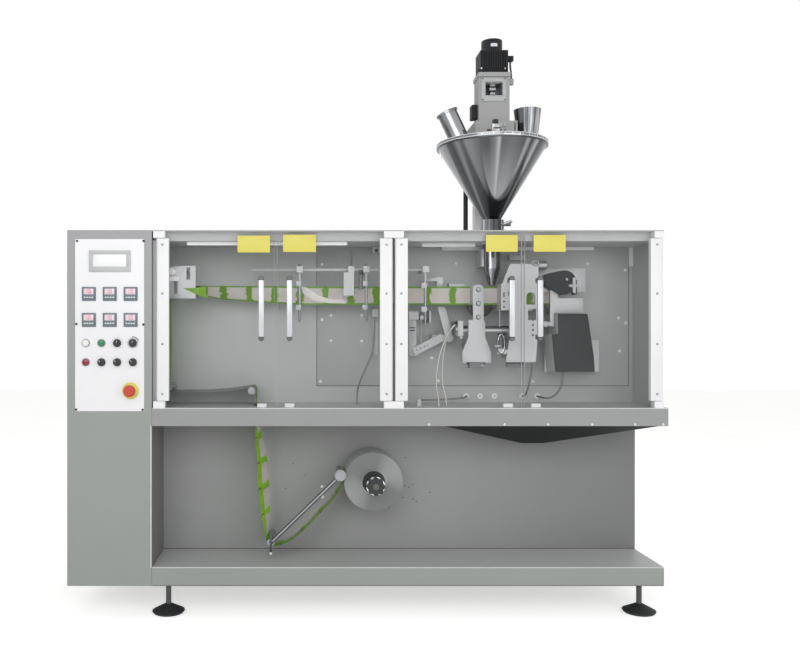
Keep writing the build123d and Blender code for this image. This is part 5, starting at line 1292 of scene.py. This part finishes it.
# Small parts by the rectangle, in pixels, that the photograph shows of their front face, with
# the depths of their front and back behind the front plane. Each back meets what carries it.
coverDepth, lowerWallDepth = coverLow.y - frontY, wallLow.y - frontY
columnDepth, baseDepth = filmMiddleY - frontY - 0.040, filmMiddleY - frontY - 0.078
seam = (coverDepth - 0.0003, coverDepth + 0.0002)
frameDepths, ventDepths = (columnDepth - 0.003, columnDepth), (baseDepth - 0.0006, baseDepth)
latchDepths, blockDepths = (baseDepth - 0.006, baseDepth), (0.106, 0.126)
smallBoxes = {
    "coverSeams": (sealBrown, "black_rubber", (
        (316.7, 256.0, 317.2, 385.9, *seam), (316.7, 385.5, 628.9, 386.0, *seam),
        (628.4, 257.0, 628.9, 385.9, *seam),
    )),
    "windowFrame": (ringGrey, "light_paint", (
        (481.5, 77.2, 506.5, 81.4, *frameDepths), (481.5, 95.2, 506.5, 101.0, *frameDepths),
        (481.5, 81.4, 485.2, 95.2, *frameDepths), (502.6, 81.4, 506.5, 95.2, *frameDepths),
    )),
    "couplingRings": (ringGrey, "brushed_steel", (
        (490.2, 84.2, 495.2, 86.0, columnDepth + 0.022, columnDepth + 0.030),
        (489.6, 87.8, 495.8, 90.2, columnDepth + 0.020, columnDepth + 0.030),
        (490.2, 92.2, 495.2, 94.6, columnDepth + 0.022, columnDepth + 0.030),
    )),
    "baseVents": (blackAbs, "black_plastic", (
        (487.0, 129.0, 492.0, 131.4, *ventDepths), (500.3, 129.2, 501.9, 130.9, *ventDepths),
        (504.3, 129.2, 505.9, 130.9, *ventDepths), (514.4, 122.3, 515.6, 131.0, *ventDepths),
    )),
    "baseLatch": (ringGrey, "brushed_steel", (
        (500.2, 123.0, 502.6, 126.6, *latchDepths), (503.4, 122.4, 505.8, 126.0, *latchDepths),
    )),
    "motorFoot": (motorBlack, "black_paint", ((478.3, 69.2, 507.7, 71.4, columnDepth - 0.009, columnDepth),)),
    "unitLugs": (machinedAluminium, "brushed_steel", (
        (509.5, 254.8, 525.7, 260.0, 0.235, coverDepth), (481.6, 249.0, 484.0, 266.5, 0.155, coverDepth),
        (373.6, 322.0, 377.8, 355.0, 0.250, coverDepth),
    )),
    "unitSlotsAndShade": (blackAbs, "black_plastic", (
        (508.2, 291.0, 509.8, 296.0, 0.1036, 0.104), (409.6, 327.2, 415.0, 328.4, 0.2056, 0.206),
        # painted shade: the strips at 466.4 and 507.0 under the jaw's and the unit's plates
        (409.6, 329.8, 415.0, 331.0, 0.2056, 0.206), (466.4, 362.2, 485.4, 364.0, 0.1110, 0.1135),
        (507.0, 362.2, 523.6, 364.0, 0.1030, 0.1055), (493.6, 127.0, 500.2, 128.4, -0.0315, -0.0300),
        (495.4, 119.6, 498.2, 121.0, -0.0315, -0.0300), (447.4, 283.8, 448.9, 287.2, 0.181, 0.183),
        (426.2, 311.0, 429.0, 321.0, 0.190, coverDepth), (375.0, 248.8, 378.2, 252.4, 0.2142, 0.215),
    )),
    "rodBlocks": (machinedAluminium, "brushed_steel", (
        (296.0, 281.0, 301.0, 286.0, *blockDepths), (296.0, 305.0, 301.0, 310.0, *blockDepths),
        (362.8, 281.0, 367.4, 286.0, *blockDepths), (362.6, 304.8, 367.2, 309.6, *blockDepths),
        (421.6, 283.0, 427.0, 288.0, *blockDepths), (421.6, 306.6, 426.6, 312.0, *blockDepths),
        (429.2, 311.0, 431.0, 323.0, 0.190, coverDepth),
    )),
    "cutterFitting": (ringGrey, "brushed_steel", (
        (573.0, 277.6, 575.8, 292.8, 0.086, 0.092), (569.4, 284.4, 578.6, 286.8, 0.088, 0.092),
        (566.2, 278.2, 568.0, 280.4, 0.089, 0.092),
    )),
}


def addSeenBox(bm, left, top, right, bottom, front, back):
    (x0, z1), (x1, z0) = seen(left, top, front), seen(right, bottom, front)
    addBox(bm, (x0, frontY + front, z0), (x1, frontY + back, z1), 0.0004)


for name, (material, slotName, places) in smallBoxes.items():
    newPiece(name, material, [(addSeenBox, *place) for place in places])

# Discs: centres in pixels, depth of the face that carries them, radius and height in metres
smallDiscs = {
    "wallDots": (sealBrown, "black_rubber", (
        (405.0, 486.0), (409.0, 487.0), (412.8, 484.5), (402.8, 497.5), (413.0, 499.0), (416.5, 501.5),
        (388.7, 507.5), (430.0, 492.5), (405.5, 457.5), (292.8, 463.5), (305.2, 475.0), (286.0, 488.4),
    ), lowerWallDepth, 0.0024, 0.0004),
    "wallStuds": (
        enamelWhite, "white_aluminium", ((322.0, 486.6), (322.6, 496.8)), lowerWallDepth, 0.0062, 0.003,
    ),
    "windowScrews": (
        blackAbs, "black_plastic", ((482.9, 78.6), (505.1, 78.6), (482.9, 99.6), (505.1, 99.6)),
        columnDepth - 0.003, 0.0027, 0.001,
    ),
    "motorScrews": (
        enamelWhite, "white_aluminium", ((481.5, 68.4), (505.0, 68.4)), columnDepth - 0.004, 0.0034, 0.002,
    ),
    "crankHoles": (
        blackAbs, "black_plastic", ((416.8, 350.0), (420.6, 348.2), (424.6, 346.4), (427.8, 345.0)),
        0.196, 0.0024, 0.0004,
    ),
    "boltShadows": (
        blackAbs, "black_plastic", stationLook["bolts"], stationLook["boltDepth"], 0.0096, 0.0004,
    ),
    "endBlockKnobs": (ringGrey, "brushed_steel", ((457.2, 329.0), (461.0, 337.6)), 0.128, 0.0062, 0.004),
}
for name, (material, slotName, places, depth, radius, height) in smallDiscs.items():
    profile = [(0.0, height), (radius * 0.8, height), (radius, height * 0.5), (radius, -0.001)]
    newPiece(name, material, [
        (addTurned, profile, seenPoint(px, py, depth), forward, 20) for px, py in places
    ])

# The rounded black cover of the cutter: two round lobes joined by a skin
cutterLook = {
    "rightLobe": (564.6, 282.4, 0.0455), "leftLobe": (551.4, 280.0, 0.0262), "front": 0.092, "back": 0.150,
}
(right, rightRadius), (left, leftRadius) = [
    (Vector(seen(px, py, cutterLook["front"])), radius)
    for px, py, radius in (cutterLook["rightLobe"], cutterLook["leftLobe"])
]
reach = right - left
lean = 180 - math.degrees(math.acos((rightRadius - leftRadius) / reach.length))
base = math.degrees(math.atan2(reach.y, reach.x))
outline = arcPoints(right, (rightRadius,) * 2, base - lean, base + lean, 18)
outline += arcPoints(left, (leftRadius,) * 2, base + lean, base + 360 - lean, 18)
newPiece("cutterShell", motorBlack, [
    (addPlate, outline, frontY + cutterLook["front"], frontY + cutterLook["back"], 0.003),
], replaced=("cutter_cover",))

# Wires: the latch's chrome loop with a dark one behind it as its painted shadow, the ring and the
# lever under the cone, and the dark rim of the tilted port. An oval is its centre and half sizes in
# pixels, its depth and the wire's radius.
wireLook = {
    "latch": (501.2, 343.6, 3.4, 9.6, 0.0965, 0.0012),
    "latchShade": (501.2, 343.6, 4.2, 10.4, 0.0975, 0.0018),
    "ring": (443.4, 155.4, 2.8, 2.8, 0.150, 0.0016), "lever": ((503.4, 224.6, 0.150), (512.0, 221.0, 0.130)),
    "leverRadius": 0.0062, "port": (hopperX - 0.1745, filmMiddleY - 0.020, 1.8575), "portRadius": 0.0372,
    "portTilt": 25, "portWire": 0.0030,
}


def addOval(bm, px, py, halfAcross, halfUp, depth, radius):
    metres = reachAt(depth)
    around = arcPoints(seen(px, py, depth), (halfAcross * metres, halfUp * metres), 0, 360, 28, False)
    addTube(bm, [(x, frontY + depth, z) for x, z in around], radius, True)


newPiece("chromeWires", chromePlate, [
    (addOval, *wireLook["latch"]), (addOval, *wireLook["ring"]),
    (addTube, [seenPoint(*place) for place in wireLook["lever"]], wireLook["leverRadius"]),
])
tilt = Matrix.Rotation(math.radians(-wireLook["portTilt"]), 3, "Y")
portRim = [
    Vector(wireLook["port"]) + tilt @ Vector((x, y, 0))
    for x, y in arcPoints((0, 0), (wireLook["portRadius"],) * 2, 0, 360, 36, False)
]
newPiece("darkWires", pipeBlack, [
    (addOval, *wireLook["latchShade"]), (addTube, portRim, wireLook["portWire"], True),
])

# Round parts of the sealing unit and the crank: rods from one pixel to another at one depth, with
# their radius, edge and steps, and a ring
roundLook = {
    "rods": (
        (537.6, 265.0, 546.0, 265.0, 0.118, 0.0165, 0.001, 28), (499.6, 327.0, 499.6, 309.0, 0.130, 0.0028),
        (421.0, 346.0, 421.0, 317.0, 0.200, 0.0026), (435.0, 336.0, 435.0, 330.5, 0.215, 0.0040),
        (494.4, 346.0, 500.8, 346.0, 0.100, 0.0065),
    ),
    "ring": (535.4, 262.9, 0.104), "ringRadius": 0.0105, "ringWire": 0.0030, "ringOut": 0.0015,
}
x, y, z = seenPoint(*roundLook["ring"])
ring = [
    (across, y - roundLook["ringOut"], up)
    for across, up in arcPoints((x, z), (roundLook["ringRadius"],) * 2, 0, 360, 24, False)
]
newPiece("unitRounds", groundSteel, [(addTube, ring, roundLook["ringWire"], True)] + [
    (addRod, seenPoint(px, py, depth), seenPoint(endX, endY, depth), *shape)
    for px, py, endX, endY, depth, *shape in roundLook["rods"]
])

# Thin lines along the opening: bright lips on the column's corner, the counter and the base, painted
# highlights of their folded edges, the base's dark lower edge, the joint over the tray, the strip
# behind door_1's hinge edge and the brown seal between the middle stiles
lipOut, lineEnd = 0.0003, 0.001
sealX = seen(394.0, 320.0, 0.010)[0]
roofFoot = roofLow.z + 0.002
thinLines = {
    "lipHighlights": (enamelWhite, "light_paint", [
        ((columnX - 0.0042, frontY - lipOut, trayHigh.z - 0.0026),
         (columnX - 0.0016, frontY, counterLow.z), 0.0001),
        ((counterLow.x + lineEnd, counterLow.y - lipOut, counterTop - 0.0024),
         (counterHigh.x - lineEnd, counterLow.y, counterTop - 0.0006), 0.0001),
        ((columnX + lineEnd, trayLow.y - lipOut, trayHigh.z - 0.0026),
         (trayHigh.x - lineEnd, trayLow.y, trayHigh.z - 0.0006), 0.0001),
    ]),
    "footEdge": (sealBrown, "light_paint", [
        ((trayLow.x + lineEnd, trayLow.y - lipOut, trayLow.z + 0.0004),
         (trayHigh.x - lineEnd, trayLow.y, trayLow.z + 0.0026), 0.0001),
    ]),
    "footSeam": (sealBrown, "black_rubber", [
        ((columnX + lineEnd, wallLow.y - 0.0006, trayHigh.z),
         (wallHigh.x - lineEnd, wallLow.y, trayHigh.z + 0.0022), 0.0002),
    ]),
    "doorPost": (powderLight, "light_paint", [
        ((columnX, frontY + 0.022, counterTop), (columnX + 0.0125, frontY + 0.034, roofFoot), 0.0005),
    ]),
    "middleSeal": (sealBrown, "black_rubber", [
        ((sealX - 0.0018, frontY + 0.004, counterTop), (sealX + 0.0018, frontY + 0.018, roofFoot), 0.0005),
    ]),
}
for name, (material, slotName, lines) in thinLines.items():
    newPiece(name, material, [(addBox, *line) for line in lines])

# The film's pointed start in front of the guide plate, and its inner fold past the first clamp
tipLook = {
    "top": ((184.0, 288.2, 0.0805), (196.0, 287.8, 0.0815), (202.0, 287.2, 0.0900), (208.0, 286.9, 0.1040)),
    "bottom": (
        (184.4, 288.8, 0.0805), (196.0, 294.0, 0.0815), (202.0, 296.4, 0.0900), (208.0, 298.0, 0.1040),
    ),
    "fold": (
        (301.0, 287.0), (306.0, 287.0), (311.0, 290.0), (320.0, 296.0), (330.0, 299.0), (345.0, 300.0),
        (345.0, 303.6), (322.0, 302.6), (310.0, 299.0), (303.0, 293.0),
    ),
    "foldFront": 0.1672, "foldBack": 0.1677,
}
tipTop, tipBottom = [smoothRun([seenPoint(*p) for p in tipLook[edge]], 4) for edge in ("top", "bottom")]
filmSheet("filmTip", tipTop, tipBottom, printedFilm, filmLook["border"], "root")
foldOutline = [seen(px, py, tipLook["foldFront"]) for px, py in tipLook["fold"]]
newPiece("filmInnerFold", whiteFilm, [
    (addPlate, foldOutline, frontY + tipLook["foldFront"], frontY + tipLook["foldBack"], 0.0001),
])
print("small parts built")

# Dancer: a round hub, twin dark rods with a bright strip between them, a slim end plate that holds
# the roller's shaft, and a bright ball nut under it
dancerLook = {
    "hub": 0.0215, "bore": 0.0102, "length": 0.012, "rod": 0.0026, "spread": 0.0102, "strip": 0.0027,
    "plate": 0.0085, "low": 0.034, "high": 0.044, "shaft": 0.0045, "ball": 0.0052, "overlap": 0.002,
    "pivot": 0.024, "stripEnd": 0.006,
}
look = dancerLook
armLow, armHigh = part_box("dancer_arm")
pivot = Vector((armHigh.x - look["pivot"], 0, armHigh.z - look["pivot"]))
armMiddle, armBack = armLow.y + look["length"] / 2, armLow.y + look["length"]
along = (dancerRoller - pivot).normalized()
hubEdge = pivot + along * (look["hub"] - look["overlap"])


def armRod(start, stop, radius):
    return addRod, (start.x, armMiddle, start.z), (stop.x, armMiddle, stop.z), radius, 0.0006, 24


newPiece("dancerStrip", machinedAluminium, [
    armRod(hubEdge, dancerRoller - along * look["stripEnd"], look["strip"]),
], "dancer")
hubProfile = [
    (look["bore"], 0.0), (look["hub"] - 0.0012, 0.0), (look["hub"], 0.0012),
    (look["hub"], look["length"] - 0.0008), (look["hub"] - 0.0008, look["length"]),
    (look["bore"], look["length"]),
]
newPiece("dancerFrame", ringGrey, [
    (addTurned, hubProfile, (pivot.x, armLow.y, pivot.z), inward, 48),
    (addRod, (dancerRoller.x, armBack - 0.001, dancerRoller.z), (dancerRoller.x, armHigh.y, dancerRoller.z),
     look["shaft"]),
], "dancer", ("dancer_arm",))
shifts = [Vector((-along.z, 0, along.x)) * look["spread"] * share for share in (-0.5, 0.5)]
newPiece("dancerRods", darkSteel, [
    armRod(hubEdge + shift, dancerRoller + shift, look["rod"]) for shift in shifts
] + [
    (addBox, (dancerRoller.x - look["plate"] / 2, armLow.y, dancerRoller.z - look["low"]),
     (dancerRoller.x + look["plate"] / 2, armBack, dancerRoller.z + look["high"]), 0.0012),
], "dancer", ("dancer_arm",))
ballTop = (dancerRoller.x, armMiddle, dancerRoller.z - look["low"] + 0.001)
ballFoot = (dancerRoller.x, armMiddle, dancerRoller.z - look["low"] - 0.009)
newPiece("dancerBall", enamelWhite, [
    (addRod, ballTop, ballFoot, look["ball"], 0.002, 24),
], "dancer")
print("dancer built")

# Floor, backdrop, lamps and camera
stageLook = {
    "floor": ("F0F0EF", "F6F6F5"), "floorGlow": 0.585, "worldStrength": 0.5, "half": 12.0, "sunk": -0.0005,
    "lamps": {  # place, what it faces, its size and its power
        "keyLamp": ((-1.0, -4.4, 2.5), (0, 0, 0.95), (3.6, 2.6), 78),
        "fillLamp": ((2.4, -3.8, 1.6), (0, 0, 0.9), (2.6, 2.4), 34),
        "topLamp": ((0.3, 0.6, 4.2), (0.2, 0, 1.2), (2.4, 2.4), 24),
    },
}


def shownRays(tree):
    # 1 for the rays that show the pale background: seen, mirrored or through the sheets
    path = addNode(tree, "LightPath").outputs
    mirrored = addNode(
        tree, "Math", links={0: path["Is Glossy Ray"], 1: path["Is Transmission Ray"]}, operation="MAXIMUM",
    )
    return addNode(tree, "Math", links={0: path["Is Camera Ray"], 1: mirrored}, operation="MAXIMUM")


# Pale painted board: matt, and lit from within only for the rays that show it, so it stays white
pale, paler = [linear(tone) for tone in stageLook["floor"]]
boardPale, tree = newMaterial("paintedBoardPale")
grain = addNode(tree, "TexNoise", {"Scale": 40.0, "Detail": 2.0})
colour = addNode(tree, "MixRGB", {"Color1": pale, "Color2": paler}, {"Fac": grain})
board = addNode(tree, "BsdfDiffuse", links={"Color": colour})
glow = addNode(tree, "Emission", {"Strength": stageLook["floorGlow"]}, {"Color": colour})
lit = addNode(tree, "AddShader", links={0: board, 1: glow})
shown = addNode(tree, "MixShader", links={0: shownRays(tree), 1: board, 2: lit})
addNode(tree, "OutputMaterial", links={"Surface": shown})

half, z = stageLook["half"], stageLook["sunk"]
bm = bmesh.new()
corners = ((-half, -half), (half, -half), (half, half), (-half, half))
bm.faces.new([bm.verts.new((x, y, z)) for x, y in corners])
floorMesh = bpy.data.meshes.new("floor")
bm.to_mesh(floorMesh)
bm.free()
floorMesh.materials.append(boardPale)
linkPiece("floor", floorMesh, None)

world = bpy.data.worlds.new("studio")
bpy.context.scene.world = world
world.use_nodes = True
tree = world.node_tree
tree.nodes.clear()
ambient, backdrop = [
    addNode(tree, "Background", {"Color": (1, 1, 1, 1), "Strength": strength})
    for strength in (stageLook["worldStrength"], 1.0)
]
mixed = addNode(tree, "MixShader", links={0: shownRays(tree), 1: ambient, 2: backdrop})
addNode(tree, "OutputWorld", links={"Surface": mixed})

for name, (place, target, size, power) in stageLook["lamps"].items():
    lamp = bpy.data.lights.new(name, "AREA")
    lamp.energy = power
    lamp.shape = "RECTANGLE"
    lamp.size, lamp.size_y = size
    holder = linkPiece(name, lamp, None)
    holder.location = place
    holder.rotation_euler = (Vector(target) - Vector(place)).to_track_quat("-Z", "Y").to_euler()

camera = bpy.data.cameras.new("camera")
width, height = cameraView["imageSize"]
camera.sensor_width = cameraView["sensor"]
camera.lens = cameraView["focalPixels"] * cameraView["sensor"] / width
camera.shift_x = (width / 2 - cameraView["vanishingPoint"][0]) / width
camera.shift_y = (cameraView["vanishingPoint"][1] - height / 2) / width
camera.clip_end = 60.0
cameraHolder = linkPiece("camera", camera, None)
cameraHolder.location = (cameraView["across"], frontY - cameraView["distance"], cameraView["height"])
cameraHolder.rotation_euler = (math.radians(90), 0, 0)
bpy.context.scene.camera = cameraHolder
bpy.context.scene.view_settings.view_transform = "Standard"
print("stage set")
